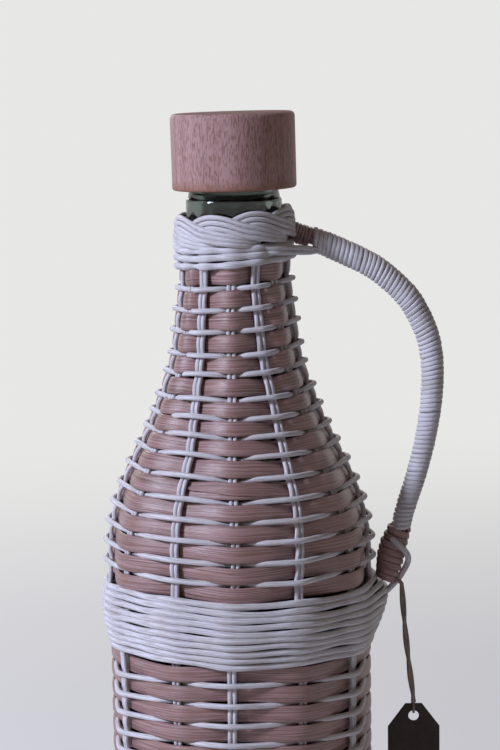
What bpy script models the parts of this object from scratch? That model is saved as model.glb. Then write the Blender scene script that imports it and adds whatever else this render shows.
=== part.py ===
"""A wicker-covered bottle, in metres, with +Z up and the front towards -Y.

A glass bottle stands on a woven base. Pairs of thin rods, the stakes, run up its wall, and flat
brown reed and round white reed are woven round them row by row. A band of white reed hides where
the lower stakes end and the upper ones begin. A plaited collar closes the weave at the neck. A bow
handle wound with white reed stands on the +X side, and a blank tag hangs from its lower end. The
stopper is a cork glued into a turned wooden cap. The origin is the middle of the base's underside.
"""

import math

import bmesh
import bpy
import numpy as np
from mathutils import Matrix, Vector

# Clearance between pieces that touch, and how far a cutter runs past a face
touch_gap = 0.0003
cut_overrun = 0.001

# How finely curves are cut into straight runs
arc_steps = 3
spline_steps = 24
reed_sides = 6
rod_resolution = 2
smooth_degrees = 35.0

# Wall of stakes: the middle line of the rods, from the base to the neck
lower_stake_radius = 0.0423
upper_stake_radius = 0.0432
neck_stake_radius = 0.0169
neck_taper_share = 0.10
lower_weave_height = 0.1182
band_height = 0.0217
upper_weave_height = 0.1040
shoulder_rise = 0.0079
shoulder_height = 0.0680
shoulder_height_shares = (0.13, 0.26, 0.39, 0.52, 0.66, 0.82, 1.0)

# Stakes: a pair of rods side by side
stake_width = 0.0030
stake_thickness = 0.0015
stake_waist_share = 0.65
upper_stake_degrees = (-82.0, -57.0, -31.0, -3.0, 24.5, 53.0, 84.0)
lower_stake_degrees = (-96.0, -69.0, -30.0, -4.0, 27.5, 62.0, 95.0)
upper_back_stakes = 7
lower_back_stakes = 5
stake_end_rise = 0.0004

# Brown flat reed and white round reed
brown_width = 0.0044
brown_thickness = 0.0008
white_thickness = 0.0015
row_gap = 0.0003
lowest_row_rise = 0.0013
jog_stakes = 3

# Band of white reed round the widest place
band_reed = 0.00174
band_row_gap = 0.0004
band_swell = 0.0013
band_points = 18

# Collar: plain rows of white reed, then a plaited edge
collar_rows = 3
collar_reed = 0.00206
collar_row_gap = 0.00044
collar_points = 16
collar_flare = 0.0010
collar_flare_reach = 0.0075
row_jog_share = 0.25
braid_height = 0.0104
braid_foot_wall = 0.00405
braid_top_wall = 0.00145
braid_belly_share = 0.35
braid_round = 0.0010
braid_bore_clearance = 0.00035

# Glass bottle
glass_wall = 0.0026
glass_ease = 0.00075
heel_radius = 0.0080
foot_width = 0.0040
punt_height = 0.0100
floor_thickness = 0.0040
neck_wall = 0.0031
bead_swell = 0.0022
bead_rise = 0.0026
bead_height = 0.0115
bead_slope = 0.0018
lip_step = 0.0010
lip_height = 0.0122
lip_round = 0.0008
glass_segments = 24

# Stopper: a cork glued into a turned wooden cap that sits a little askew
cap_wall = 0.0038
cap_height = 0.0248
cap_round = 0.0012
cap_tilt_degrees = -0.9
recess_clearance = 0.0018
recess_depth = 0.0120
cork_clearance = 0.0004
cork_taper = 0.0006
cork_length = 0.0165
cork_socket_depth = 0.0068
cork_round = 0.0008
cork_glue_gap = 0.00045
turned_segments = 32

# Woven base and its border
base_thickness = 0.0024
border_width = 0.0058
border_height = 0.0062
border_flat_share = 0.55

# Handle: a bent rod wound with white reed, bound with brown reed at both ends
handle_core_radius = 0.0020
handle_root_share = 0.167
handle_foot_sink = 0.0031
handle_bow = 0.0333
handle_bow_shares = (
    (0.0, 0.0), (0.206, 0.025), (0.425, 0.057), (0.64, 0.092), (0.761, 0.123), (0.868, 0.159),
    (0.95, 0.196), (1.001, 0.245), (1.031, 0.303), (1.004, 0.383), (0.938, 0.455), (0.848, 0.528),
    (0.69, 0.629), (0.513, 0.726), (0.355, 0.804), (0.22, 0.884), (0.11, 0.949), (0.0, 1.0),
)
handle_points = 30
handle_fine_points = 400
handle_turn_points = 9
wrap_reed_width = 0.0037
wrap_reed_thickness = 0.0010
wrap_gap = 0.0010
wrap_flat_share = 0.6
top_binding_turns = 2
top_binding_reed_width = 0.00095
top_binding_gap = 0.00045
foot_binding_turns = 4
foot_binding_points = 12
foot_binding_reed_width = 0.0022
foot_binding_gap = 0.0005
foot_binding_rise = 0.0008
foot_binding_clearance = 0.0011
foot_binding_ease = 0.0005

# White reed that lashes the handle's foot to the band: it starts at the front of the foot's binding,
# stands out past the rod's end and runs back in to the band. Its shares are of how far it stands
# out, how far it lies to the front and how far it runs down, each from the rod's end.
lashing_radius = 0.00095
lashing_points = 16
lashing_rise = 0.0126
lashing_drop = 0.0182
lashing_reach = 0.0080
lashing_front = 0.0050
lashing_route_shares = (
    (0.38, 1.0, 0.0), (0.72, 0.92, 0.12), (1.0, 0.56, 0.275), (0.96, 0.06, 0.45), (0.72, -0.04, 0.615),
    (0.38, -0.02, 0.785), (0.08, 0.0, 0.923), (-0.12, 0.0, 1.0),
)

# Tag: a blank card on a string
string_radius = 0.00075
string_route = (
    (0.0545, 0.0, 0.1407), (0.0550, -0.0002, 0.1330), (0.0556, -0.0003, 0.1250),
    (0.0564, -0.0003, 0.1170), (0.0573, -0.0001, 0.1090), (0.0582, 0.0, 0.1020),
    (0.0584, 0.0, 0.0990),
)
string_points = 15
card_width = 0.0176
card_length = 0.0300
card_thickness = 0.0006
card_tip_width = 0.0056
card_clip_drop = 0.0080
card_hole_radius = 0.0018
card_hole_drop = 0.0043
hole_segments = 12

# Colours
white_reed_colour = (0.62, 0.60, 0.66)
brown_reed_colour = (0.20, 0.115, 0.105)
glass_colour = (0.45, 0.55, 0.45)
beech_colour = (0.42, 0.28, 0.27)
cork_colour = (0.45, 0.30, 0.18)
string_colour = (0.35, 0.33, 0.33)
card_colour = (0.16, 0.13, 0.12)

# Places that follow from the sizes above, from the base up
least_row_pitch = brown_width + white_thickness + 2.0 * row_gap
glass_clearance = 0.5 * stake_thickness + touch_gap + white_thickness + glass_ease
glass_radius = lower_stake_radius - glass_clearance
band_bottom = border_height + lower_weave_height
band_top = band_bottom + band_height
band_middle = 0.5 * (band_bottom + band_top)
band_rows = 1 + int((band_height - band_reed) / (band_reed + band_row_gap))
collar_bottom = band_top + upper_weave_height
collar_row_pitch = collar_reed + collar_row_gap
shoulder_foot = band_top + shoulder_rise
shoulder_top = shoulder_foot + shoulder_height
first_lower_row = border_height + touch_gap + 0.5 * brown_width + lowest_row_rise
last_lower_row = band_bottom - touch_gap - 0.5 * brown_width
first_upper_row = band_top + touch_gap + 0.5 * brown_width
last_upper_row = collar_bottom - touch_gap - 0.5 * brown_width
neck_height = last_upper_row
neck_glass_radius = neck_stake_radius - glass_clearance
collar_top = collar_bottom + (collar_rows - 1) * collar_row_pitch + collar_reed
collar_middle = 0.5 * (collar_bottom + collar_top)
upper_stake_top = collar_top + stake_end_rise
braid_foot = upper_stake_top + touch_gap
bead_foot = braid_foot + bead_rise
bead_radius = neck_glass_radius + bead_swell
braid_bore = bead_radius + braid_bore_clearance
braid_foot_radius = braid_bore + braid_foot_wall
braid_top_radius = braid_bore + braid_top_wall
mouth_radius = neck_glass_radius - neck_wall
lip_radius = bead_radius - lip_step
lip_top = bead_foot + bead_height + bead_slope + lip_height
cork_radius = mouth_radius - cork_clearance
recess_radius = lip_radius + recess_clearance
cap_radius = recess_radius + cap_wall
cap_lean = lip_radius * math.sin(math.radians(abs(cap_tilt_degrees)))
cap_foot = lip_top + touch_gap + cap_lean - recess_depth
handle_root_height = braid_foot + handle_root_share * braid_height
handle_foot_height = band_top - handle_foot_sink
foot_binding_pitch = foot_binding_reed_width + foot_binding_gap
foot_binding_bottom = band_top + touch_gap + 0.5 * foot_binding_reed_width + foot_binding_rise
foot_binding_top = foot_binding_bottom + foot_binding_turns * foot_binding_pitch
foot_binding_top += 0.5 * foot_binding_reed_width
foot_binding_reach = upper_stake_radius + stake_thickness + white_thickness + foot_binding_clearance


def clear_scene():
    """Empty the scene, so that a second run gives the same model."""
    for old in list(bpy.data.objects):
        bpy.data.objects.remove(old, do_unlink=True)


def material(name, colour, roughness, metallic=0.0, transmission=0.0):
    """A plain Principled finish."""
    finish = bpy.data.materials.new(name)
    finish.use_nodes = True
    shader = finish.node_tree.nodes["Principled BSDF"]
    shader.inputs["Base Color"].default_value = (*colour, 1.0)
    shader.inputs["Roughness"].default_value = roughness
    shader.inputs["Metallic"].default_value = metallic
    shader.inputs["Transmission Weight"].default_value = transmission
    return finish


def add_object(name, mesh, finish):
    """Put a mesh in the scene as one named piece, shaded smooth but for its sharp edges."""
    mesh.materials.append(finish)
    mesh.shade_smooth()
    mesh.set_sharp_from_angle(angle=math.radians(smooth_degrees))
    piece = bpy.data.objects.new(name, mesh)
    bpy.context.scene.collection.objects.link(piece)
    return piece


def add_pivot(name, place, parent=None):
    """An empty on the axis that a moving piece slides along or turns about."""
    pivot = bpy.data.objects.new(name, None)
    bpy.context.scene.collection.objects.link(pivot)
    pivot.location = place
    if parent:
        carry(parent, pivot)
    return pivot


def carry(pivot, *pieces):
    """Make pieces the children of a pivot, and leave them where they stand."""
    bpy.context.view_layer.update()
    for piece in pieces:
        piece.parent = pivot
        piece.matrix_parent_inverse = pivot.matrix_world.inverted()


def closed_mesh(name, points, faces):
    """A mesh of the given faces, with all of them turned outwards."""
    mesh = bpy.data.meshes.new(name)
    mesh.from_pydata([tuple(point) for point in points], [], faces)
    shell = bmesh.new()
    shell.from_mesh(mesh)
    bmesh.ops.recalc_face_normals(shell, faces=shell.faces)
    shell.to_mesh(mesh)
    shell.free()
    return mesh


def sweep(name, centres, firsts, seconds, section, finish):
    """Carry a section along a row of centres: each ring is centre + a * first + b * second."""
    section = np.asarray(section)
    rings = (
        centres[:, None, :]
        + section[None, :, 0, None] * firsts[:, None, :]
        + section[None, :, 1, None] * seconds[:, None, :]
    )
    count, sides = rings.shape[:2]
    faces = []
    for ring in range(count - 1):
        for side in range(sides):
            after = (side + 1) % sides
            low = ring * sides
            faces.append((low + side, low + after, low + sides + after, low + sides + side))
    faces.append(tuple(range(sides)))
    faces.append(tuple(range((count - 1) * sides, count * sides)))
    return add_object(name, closed_mesh(name, rings.reshape(-1, 3), faces), finish)


def turned(name, outline, segments, finish):
    """Spin a closed outline of (radius, height) points round the Z axis."""
    mesh = bpy.data.meshes.new(name)
    shape = bmesh.new()
    corners = [shape.verts.new((radius, 0.0, height)) for radius, height in outline]
    for here, after in zip(corners, corners[1:]):
        shape.edges.new((here, after))
    if outline[0][0] > 0.0:
        shape.edges.new((corners[-1], corners[0]))
    bmesh.ops.spin(
        shape, geom=shape.verts[:] + shape.edges[:], cent=(0.0, 0.0, 0.0), axis=(0.0, 0.0, 1.0),
        angle=math.tau, steps=segments, use_merge=True,
    )
    bmesh.ops.remove_doubles(shape, verts=shape.verts, dist=touch_gap / segments)
    bmesh.ops.recalc_face_normals(shape, faces=shape.faces)
    shape.to_mesh(mesh)
    shape.free()
    return add_object(name, mesh, finish)


def rounded(corner, before, after, steps=2):
    """Points of a quarter turn from before to after, bulging towards the corner."""
    points = []
    for step in range(steps + 1):
        angle = 0.5 * math.pi * step / steps
        share_before = 1.0 - math.sin(angle)
        share_after = 1.0 - math.cos(angle)
        points.append(tuple(
            corner[axis] + share_before * (before[axis] - corner[axis])
            + share_after * (after[axis] - corner[axis])
            for axis in (0, 1)
        ))
    return points


def smooth_route(points, count):
    """A smooth curve through the points (Catmull-Rom), read at evenly spaced places."""
    points = np.asarray(points, dtype=float)
    padded = np.vstack([2.0 * points[0] - points[1], points, 2.0 * points[-1] - points[-2]])
    fine = []
    for span in range(len(points) - 1):
        p0, p1, p2, p3 = padded[span:span + 4]
        for t in np.linspace(0.0, 1.0, spline_steps, endpoint=False):
            fine.append(0.5 * (
                2.0 * p1 + (p2 - p0) * t + (2.0 * p0 - 5.0 * p1 + 4.0 * p2 - p3) * t * t
                + (3.0 * p1 - p0 - 3.0 * p2 + p3) * t ** 3
            ))
    fine = np.array(fine + [points[-1]])
    lengths = np.concatenate([[0.0], np.cumsum(np.linalg.norm(np.diff(fine, axis=0), axis=1))])
    places = np.linspace(0.0, lengths[-1], count)
    return np.stack([np.interp(places, lengths, fine[:, axis]) for axis in range(3)], axis=1)


def rod(name, points, radius, finish):
    """A round rod along the points, with closed ends."""
    curve = bpy.data.curves.new(name, "CURVE")
    curve.dimensions = "3D"
    spline = curve.splines.new("POLY")
    spline.points.add(len(points) - 1)
    for place, point in zip(spline.points, points):
        place.co = (*point, 1.0)
    curve.bevel_depth = radius
    curve.bevel_resolution = rod_resolution
    curve.use_fill_caps = True
    curve.materials.append(finish)
    piece = bpy.data.objects.new(name, curve)
    bpy.context.scene.collection.objects.link(piece)
    return piece


def least_gap(centres, per_turn, thickness_along, first_point=0):
    """Least gap between neighbouring turns, measured between the points of one turn and the next."""
    here = centres[first_point:-per_turn]
    after = centres[first_point + per_turn:]
    return float(np.linalg.norm(after - here, axis=1).min()) - thickness_along


def formula_radius(height):
    """Radius of the stakes' middle line: a wall with a swelling under the band, a raised-cosine
    shoulder up to the neck's cone, and a flare under the collar."""
    height = np.asarray(height, dtype=float)
    band_half = 0.5 * (band_top - band_bottom) + brown_width
    rise = np.clip((height - band_middle) / band_half, -1.0, 1.0)
    wall = lower_stake_radius + (upper_stake_radius - lower_stake_radius) * 0.5 * (1.0 + rise)
    wall = wall + 0.5 * band_swell * (1.0 + np.cos(math.pi * rise))
    neck = neck_stake_radius + neck_taper_share * (neck_height - height)
    climb = np.clip((height - shoulder_foot) / (shoulder_top - shoulder_foot), 0.0, 1.0)
    body_share = 0.5 * (1.0 + np.cos(math.pi * climb))
    flare = np.clip((height - collar_middle) / collar_flare_reach, -1.0, 1.0)
    flare = 0.5 * collar_flare * (1.0 + np.cos(math.pi * flare))
    return neck + (wall - neck) * body_share + flare


def wall_heights():
    """Heights where the stakes bend: through the band, up the shoulder and along the neck."""
    base = border_height + touch_gap
    band_edge = brown_width
    heights = [base, band_bottom - band_edge, band_middle, band_top + band_edge]
    heights += [
        shoulder_foot + share * (shoulder_top + band_edge - shoulder_foot)
        for share in shoulder_height_shares
    ]
    heights += [neck_height, collar_middle, upper_stake_top]
    return np.array(sorted(heights))


WALL_HEIGHTS = wall_heights()
WALL_RADII = formula_radius(WALL_HEIGHTS)
WALL_LENGTHS = np.concatenate(
    [[0.0], np.cumsum(np.hypot(np.diff(WALL_HEIGHTS), np.diff(WALL_RADII)))]
)


def wall_point(length):
    """Radius and height at a length measured up the wall, with its outward and upward directions."""
    radius = float(np.interp(length, WALL_LENGTHS, WALL_RADII))
    height = float(np.interp(length, WALL_LENGTHS, WALL_HEIGHTS))
    reach = 0.5 * brown_width
    rise = np.interp(length + reach, WALL_LENGTHS, WALL_HEIGHTS)
    rise = rise - np.interp(length - reach, WALL_LENGTHS, WALL_HEIGHTS)
    spread = np.interp(length + reach, WALL_LENGTHS, WALL_RADII)
    spread = spread - np.interp(length - reach, WALL_LENGTHS, WALL_RADII)
    size = math.hypot(rise, spread)
    return radius, height, (rise / size, -spread / size), (spread / size, rise / size)


def wall_length(height):
    """Length up the wall at a height."""
    return float(np.interp(height, WALL_HEIGHTS, WALL_LENGTHS))


def stake_angles(front_degrees, back_count):
    """Angles round the bottle, from the front: the front stakes as placed, the back ones even.
    The list starts with the middle stake of the back, where the rows step up, and the place of the
    front's middle stake in the list comes with it."""
    front = list(front_degrees)
    step = (front[0] + 360.0 - front[-1]) / (back_count + 1)
    back = [front[-1] + step * (place + 1) for place in range(back_count)]
    half = back_count // 2
    order = [degrees - 360.0 for degrees in back[half:]] + front + back[:half]
    front_place = order.index(front[len(front) // 2])
    return [math.radians(degrees) for degrees in order], front_place


def around(angle, direction):
    """A (radial, axial) direction turned to an angle round the bottle, counted from the front."""
    radial, axial = direction
    return np.array([radial * math.sin(angle), -radial * math.cos(angle), axial])


def build_stakes(prefix, angles, from_height, to_height, finish):
    """Pairs of rods up the wall, each pair one piece with a waist between its rods."""
    half = 0.5 * stake_width
    thick = 0.5 * stake_thickness
    waist = stake_waist_share * thick
    section = (
        (thick, -half), (waist, 0.0), (thick, half), (-thick, half), (-waist, 0.0), (-thick, -half),
    )
    inside = [height for height in WALL_HEIGHTS if from_height < height < to_height]
    lengths = [wall_length(height) for height in (from_height, *inside, to_height)]
    for number, angle in enumerate(angles, start=1):
        side = np.array([math.cos(angle), math.sin(angle), 0.0])
        places = [wall_point(length) for length in lengths]
        centres = np.array([around(angle, (radius, height)) for radius, height, _, _ in places])
        outs = np.array([around(angle, out) for _, _, out, _ in places])
        sides = np.tile(side, (len(places), 1))
        sweep(f"{prefix}_{number:02d}", centres, outs, sides, section, finish)


def count_rows(first_height, last_height):
    """How many rows of brown reed fit between two heights, and their pitch up the wall."""
    climb = wall_length(last_height) - wall_length(first_height)
    steps = int(climb / least_row_pitch)
    return steps + 1, climb / steps


def rows_reach(height, reed, points):
    """Radius that the corners of rows of round reed reach, laid on the stakes at a height."""
    stand = float(formula_radius(height)) + 0.5 * stake_thickness + touch_gap + 0.5 * reed
    return stand / math.cos(math.pi / points) + 0.5 * reed


def crossing_offsets(radius, gaps, half_thickness):
    """How far a strand passes outside and inside a stake's middle line. A strand runs straight
    from stake to stake, so it stands off enough to clear the stake's edges on both sides."""
    stack = 0.5 * stake_thickness + touch_gap + half_thickness
    over = under = stack
    for _ in range(3):
        falls = [(radius + over - (radius - under) * math.cos(gap))
                 / ((radius - under) * math.sin(gap)) for gap in gaps]
        rises = [((radius + over) * math.cos(gap) - radius + under)
                 / ((radius + over) * math.sin(gap)) for gap in gaps]
        over = stack + 0.5 * stake_width * max(falls)
        under = stack + 0.5 * stake_width * max(0.0, *rises)
    return over, under


def build_weaver(name, angles, outside, first_height, pitch, rows, size, finish, flat):
    """One strand woven round the stakes, row above row, outside the stakes marked in the list and
    inside the others. Each row is level but at the back, where it steps up to the next."""
    half_out, half_up = 0.5 * size[0], 0.5 * size[1]
    if flat:
        section = ((half_out, -half_up), (half_out, half_up), (-half_out, half_up), (-half_out, -half_up))
    else:
        section = ((half_out, 0.0), (0.0, half_up), (-half_out, 0.0), (0.0, -half_up))
    start = wall_length(first_height)
    count = len(angles)
    centres, outs, ups = [], [], []
    for row in range(rows):
        for place, angle in enumerate(angles):
            if row == 0 and place < jog_stakes:
                continue
            climb = min(1.0, (place + 1) / (jog_stakes + 1))
            level = row - 1 + 0.5 * (1.0 - math.cos(math.pi * climb))
            radius, height, out, up = wall_point(start + pitch * level)
            before = (angle - angles[place - 1]) % math.tau
            after = (angles[(place + 1) % count] - angle) % math.tau
            over, under = crossing_offsets(radius, (before, after), half_out)
            offset = over if outside[place] else -under
            spot = (radius + offset * out[0], height + offset * out[1])
            centres.append(around(angle, spot))
            outs.append(around(angle, out))
            ups.append(around(angle, up))
    return sweep(name, np.array(centres), np.array(outs), np.array(ups), section, finish)


def build_rows(name, rows, reed, first_centre, pitch, points, finish):
    """Rows of round reed laid on the outside of the stakes as one strand. Its corners stand out, so
    that the straight runs between them clear the stakes."""
    angles = [math.pi + math.tau * (place + 0.5) / points for place in range(points)]
    turns = [math.tau * side / reed_sides for side in range(reed_sides)]
    section = [(0.5 * reed * math.cos(turn), 0.5 * reed * math.sin(turn)) for turn in turns]
    start = wall_length(first_centre)
    jog = int(row_jog_share * points)
    centres, outs, ups = [], [], []
    for row in range(rows):
        for place, angle in enumerate(angles):
            if row == 0 and place < jog:
                continue
            climb = min(1.0, (place + 1) / (jog + 1))
            level = row - 1 + 0.5 * (1.0 - math.cos(math.pi * climb))
            height = wall_point(start + pitch * level)[1]
            stand = rows_reach(height, reed, points) - 0.5 * reed
            centres.append(around(angle, (stand, height)))
            outs.append(around(angle, (1.0, 0.0)))
            ups.append(around(angle, (0.0, 1.0)))
    centres = np.array(centres)
    print(f"{name}: least gap between rows {1000.0 * least_gap(centres, points, reed):.2f} mm")
    return sweep(name, centres, np.array(outs), np.array(ups), section, finish)


def build_glass(finish):
    """The bottle: a wall that follows the stakes at a clearance, with a punt, a bead and a lip."""
    foot = base_thickness + touch_gap
    quarter = [0.5 * math.pi * step / arc_steps for step in range(arc_steps + 1)]
    heel = [
        (glass_radius - heel_radius + heel_radius * math.sin(turn),
         foot + heel_radius - heel_radius * math.cos(turn))
        for turn in quarter
    ]
    shoulder = []
    for height in WALL_HEIGHTS:
        if shoulder_foot <= height <= neck_height:
            radius, height, out, _ = wall_point(wall_length(height))
            shoulder.append((radius - glass_clearance * out[0], height - glass_clearance * out[1]))
    shoulder = [(min(glass_radius, radius), height) for radius, height in shoulder]
    neck_radius = shoulder[-1][0]
    neck = [
        (neck_radius, bead_foot - bead_slope), (bead_radius, bead_foot),
        (bead_radius, bead_foot + bead_height), (lip_radius, bead_foot + bead_height + bead_slope),
    ]
    lip_edge = lip_top - lip_round
    lip = rounded((lip_radius, lip_top), (lip_radius, lip_edge), (lip_radius - lip_round, lip_top))
    lip += rounded((mouth_radius, lip_top), (mouth_radius + lip_round, lip_top), (mouth_radius, lip_edge))
    inner = [(max(mouth_radius, radius - glass_wall), height - glass_wall * (radius < glass_radius))
             for radius, height in reversed(shoulder)]
    floor = foot + floor_thickness
    inner_radius = glass_radius - glass_wall
    inner_heel = heel_radius - glass_wall
    inner += [
        (inner_radius - inner_heel + inner_heel * math.cos(turn),
         floor + inner_heel - inner_heel * math.sin(turn))
        for turn in quarter
    ]
    punt_foot = glass_radius - heel_radius - foot_width
    punt = [(punt_foot * math.cos(turn), punt_height * math.sin(turn)) for turn in quarter]
    underside = [(radius, foot + rise) for radius, rise in reversed(punt)]
    inside_floor = [(radius, floor + rise) for radius, rise in punt]
    outline = underside + heel + shoulder + neck + lip + inner + inside_floor
    outline[0] = (0.0, outline[0][1])
    outline[-1] = (0.0, outline[-1][1])
    return turned("glass_bottle", outline, glass_segments, finish)


def build_stopper(wood, cork):
    """The cap, turned with a recess over the lip and a socket for the cork, and the cork in it."""
    roof = recess_depth
    socket_radius = cork_radius + cork_glue_gap
    socket_top = roof + cork_socket_depth
    edge = cap_radius - cap_round
    outline = [(0.0, socket_top), (socket_radius, socket_top), (socket_radius, roof)]
    outline += [(recess_radius, roof), (recess_radius, 0.0)]
    outline += rounded((cap_radius, 0.0), (edge, 0.0), (cap_radius, cap_round))
    outline += rounded((cap_radius, cap_height), (cap_radius, cap_height - cap_round), (edge, cap_height))
    outline += [(0.0, cap_height)]
    cap = turned("cap_wood", outline, turned_segments, wood)
    pivot = Vector((0.0, 0.0, roof + 0.5 * cork_socket_depth))
    askew = Matrix.Translation(pivot) @ Matrix.Rotation(math.radians(cap_tilt_degrees), 4, "Y")
    cap.matrix_world = Matrix.Translation((0.0, 0.0, cap_foot)) @ askew @ Matrix.Translation(-pivot)

    cork_top = cap_foot + socket_top - 2.0 * touch_gap
    cork_foot = cork_top - cork_length
    narrow = cork_radius - cork_taper
    outline = [(0.0, cork_foot)]
    rim = cork_foot + cork_round
    outline += rounded((narrow, cork_foot), (narrow - cork_round, cork_foot), (narrow, rim))
    outline += [(cork_radius, cap_foot + roof), (cork_radius, cork_top), (0.0, cork_top)]
    plug = turned("stopper_cork", outline, turned_segments // 2, cork)
    carry(add_pivot("stopper_axis", (0.0, 0.0, cap_foot)), cap, plug)


def build_base(finish):
    """The woven base disc under the glass, and the border round it that the lower stakes enter."""
    outline = [(0.0, 0.0), (glass_radius, 0.0), (glass_radius, base_thickness), (0.0, base_thickness)]
    turned("base_disc", outline, turned_segments, finish)
    inner = glass_radius + touch_gap
    outer = inner + border_width
    middle = 0.5 * (inner + outer)
    flat = 0.5 * border_flat_share * border_width
    outline = [(middle - flat, 0.0), (middle + flat, 0.0)]
    outline += rounded((outer, 0.0), (middle + flat, 0.0), (outer, 0.5 * border_height))[1:]
    outline += rounded((outer, border_height), (outer, 0.5 * border_height), (middle, border_height))[1:]
    outline += rounded((inner, border_height), (middle, border_height), (inner, 0.5 * border_height))[1:]
    outline += rounded((inner, 0.0), (inner, 0.5 * border_height), (middle - flat, 0.0))[1:-1]
    turned("base_border", outline, turned_segments, finish)


def build_braid(finish):
    """The plaited edge of the collar, a ring that leans in over the stakes' tops."""
    top = braid_foot + braid_height
    belly = braid_foot + braid_belly_share * braid_height
    outline = [(braid_bore, braid_foot), (braid_foot_radius - braid_round, braid_foot)]
    outline += [(braid_foot_radius, braid_foot + braid_round), (braid_foot_radius, belly)]
    outline += [(braid_top_radius, top - braid_round), (braid_top_radius - braid_round, top)]
    outline += [(braid_bore, top)]
    turned("collar_braid", outline, turned_segments, finish)


def handle_route(count):
    """Middle line of the handle's rod, from the collar out and down to the band: a straight line
    between its two ends, and a bow outwards that is added to it."""
    start = braid_foot_radius + touch_gap
    end = rows_reach(handle_foot_height, band_reed, band_points) + touch_gap + handle_core_radius
    drop = handle_root_height - handle_foot_height
    points = [
        (start + down * (end - start) + out * handle_bow, 0.0, handle_root_height - down * drop)
        for out, down in handle_bow_shares
    ]
    return smooth_route(points, count)


def handle_lengths(fine):
    """Length along the handle's route at each of its points."""
    return np.concatenate([[0.0], np.cumsum(np.linalg.norm(np.diff(fine, axis=0), axis=1))])


def winding_spans():
    """Where the top binding and the white winding start and end along the handle's rod. The
    binding starts clear of the collar's rows, and the winding runs from it to the foot's binding."""
    fine = handle_route(handle_fine_points)
    lengths = handle_lengths(fine)
    rows = rows_reach(collar_middle, collar_reed, collar_points)
    outermost = int(np.argmax(fine[:, 0]))
    binding_start = np.interp(rows + touch_gap, fine[:outermost, 0], lengths[:outermost])
    binding_start += 0.5 * top_binding_reed_width
    binding_pitch = top_binding_reed_width + top_binding_gap
    binding_end = binding_start + top_binding_turns * binding_pitch
    winding_start = binding_end + 0.5 * top_binding_reed_width + touch_gap + 0.5 * wrap_reed_width
    foot = foot_binding_top + 2.0 * touch_gap + 0.5 * wrap_reed_width
    winding_end = np.interp(-foot, -fine[:, 2], lengths)
    return (binding_start, binding_end), (winding_start, winding_end)


def wind_handle(name, span, turns, width, thickness, finish):
    """A flat reed wound round the handle's rod from one length along it to another, over the front
    from the outer side of the bow to the inner."""
    fine = handle_route(handle_fine_points)
    lengths = handle_lengths(fine)
    tangents = np.gradient(fine, axis=0)
    tangents /= np.linalg.norm(tangents, axis=1)[:, None]
    per_turn = handle_turn_points
    steps = turns * per_turn + 1
    places = np.linspace(span[0], span[1], steps)
    centre = np.stack([np.interp(places, lengths, fine[:, axis]) for axis in range(3)], axis=1)
    along = np.stack([np.interp(places, lengths, tangents[:, axis]) for axis in range(3)], axis=1)
    turn = math.tau * np.arange(steps) / per_turn
    sideways = np.cross(along, (0.0, 1.0, 0.0))
    outs = np.cos(turn)[:, None] * sideways + np.sin(turn)[:, None] * np.array([0.0, -1.0, 0.0])
    inner = (handle_core_radius + touch_gap) / math.cos(math.pi / per_turn)
    centres = centre + (inner + 0.5 * thickness) * outs
    half_along, half_out = 0.5 * width, 0.5 * thickness
    flat = wrap_flat_share * half_along
    section = (
        (half_out, -flat), (half_out, flat), (0.0, half_along),
        (-half_out, flat), (-half_out, -flat), (0.0, -half_along),
    )
    print(f"{name}: least gap between turns {1000.0 * least_gap(centres, per_turn, width):.2f} mm")
    return sweep(name, centres, outs, along, section, finish)


def build_foot_binding(finish):
    """Brown reed bound round the handle's foot, in level turns that reach in to the woven wall."""
    fine = handle_route(handle_fine_points)
    steps = foot_binding_turns * foot_binding_points + 1
    half = 0.5 * brown_thickness
    centres, outs = [], []
    for step in range(steps):
        turn = math.tau * step / foot_binding_points
        height = foot_binding_bottom + foot_binding_pitch * step / foot_binding_points
        core = float(np.interp(-height, -fine[:, 2], fine[:, 0]))
        outer = core + handle_core_radius + foot_binding_ease + half
        middle = 0.5 * (outer + foot_binding_reach)
        reach_x = 0.5 * (outer - foot_binding_reach)
        reach_y = handle_core_radius + foot_binding_ease + 2.0 * half
        centres.append((middle + reach_x * math.cos(turn), reach_y * math.sin(turn), height))
        out = Vector((math.cos(turn) / reach_x, math.sin(turn) / reach_y, 0.0)).normalized()
        outs.append(tuple(out))
    ups = np.tile((0.0, 0.0, 1.0), (steps, 1))
    tall = 0.5 * foot_binding_reed_width
    section = ((half, -tall), (half, tall), (-half, tall), (-half, -tall))
    sweep("handle_foot_binding", np.array(centres), np.array(outs), ups, section, finish)


def lashing_line():
    """Middle line of the white reed that ties the handle's foot to the band."""
    end = handle_route(handle_points)[-1]
    top = end[2] + lashing_rise
    points = [
        (end[0] + out * lashing_reach, -front * lashing_front, top - down * lashing_drop)
        for out, front, down in lashing_route_shares
    ]
    return smooth_route(points, lashing_points)


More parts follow.
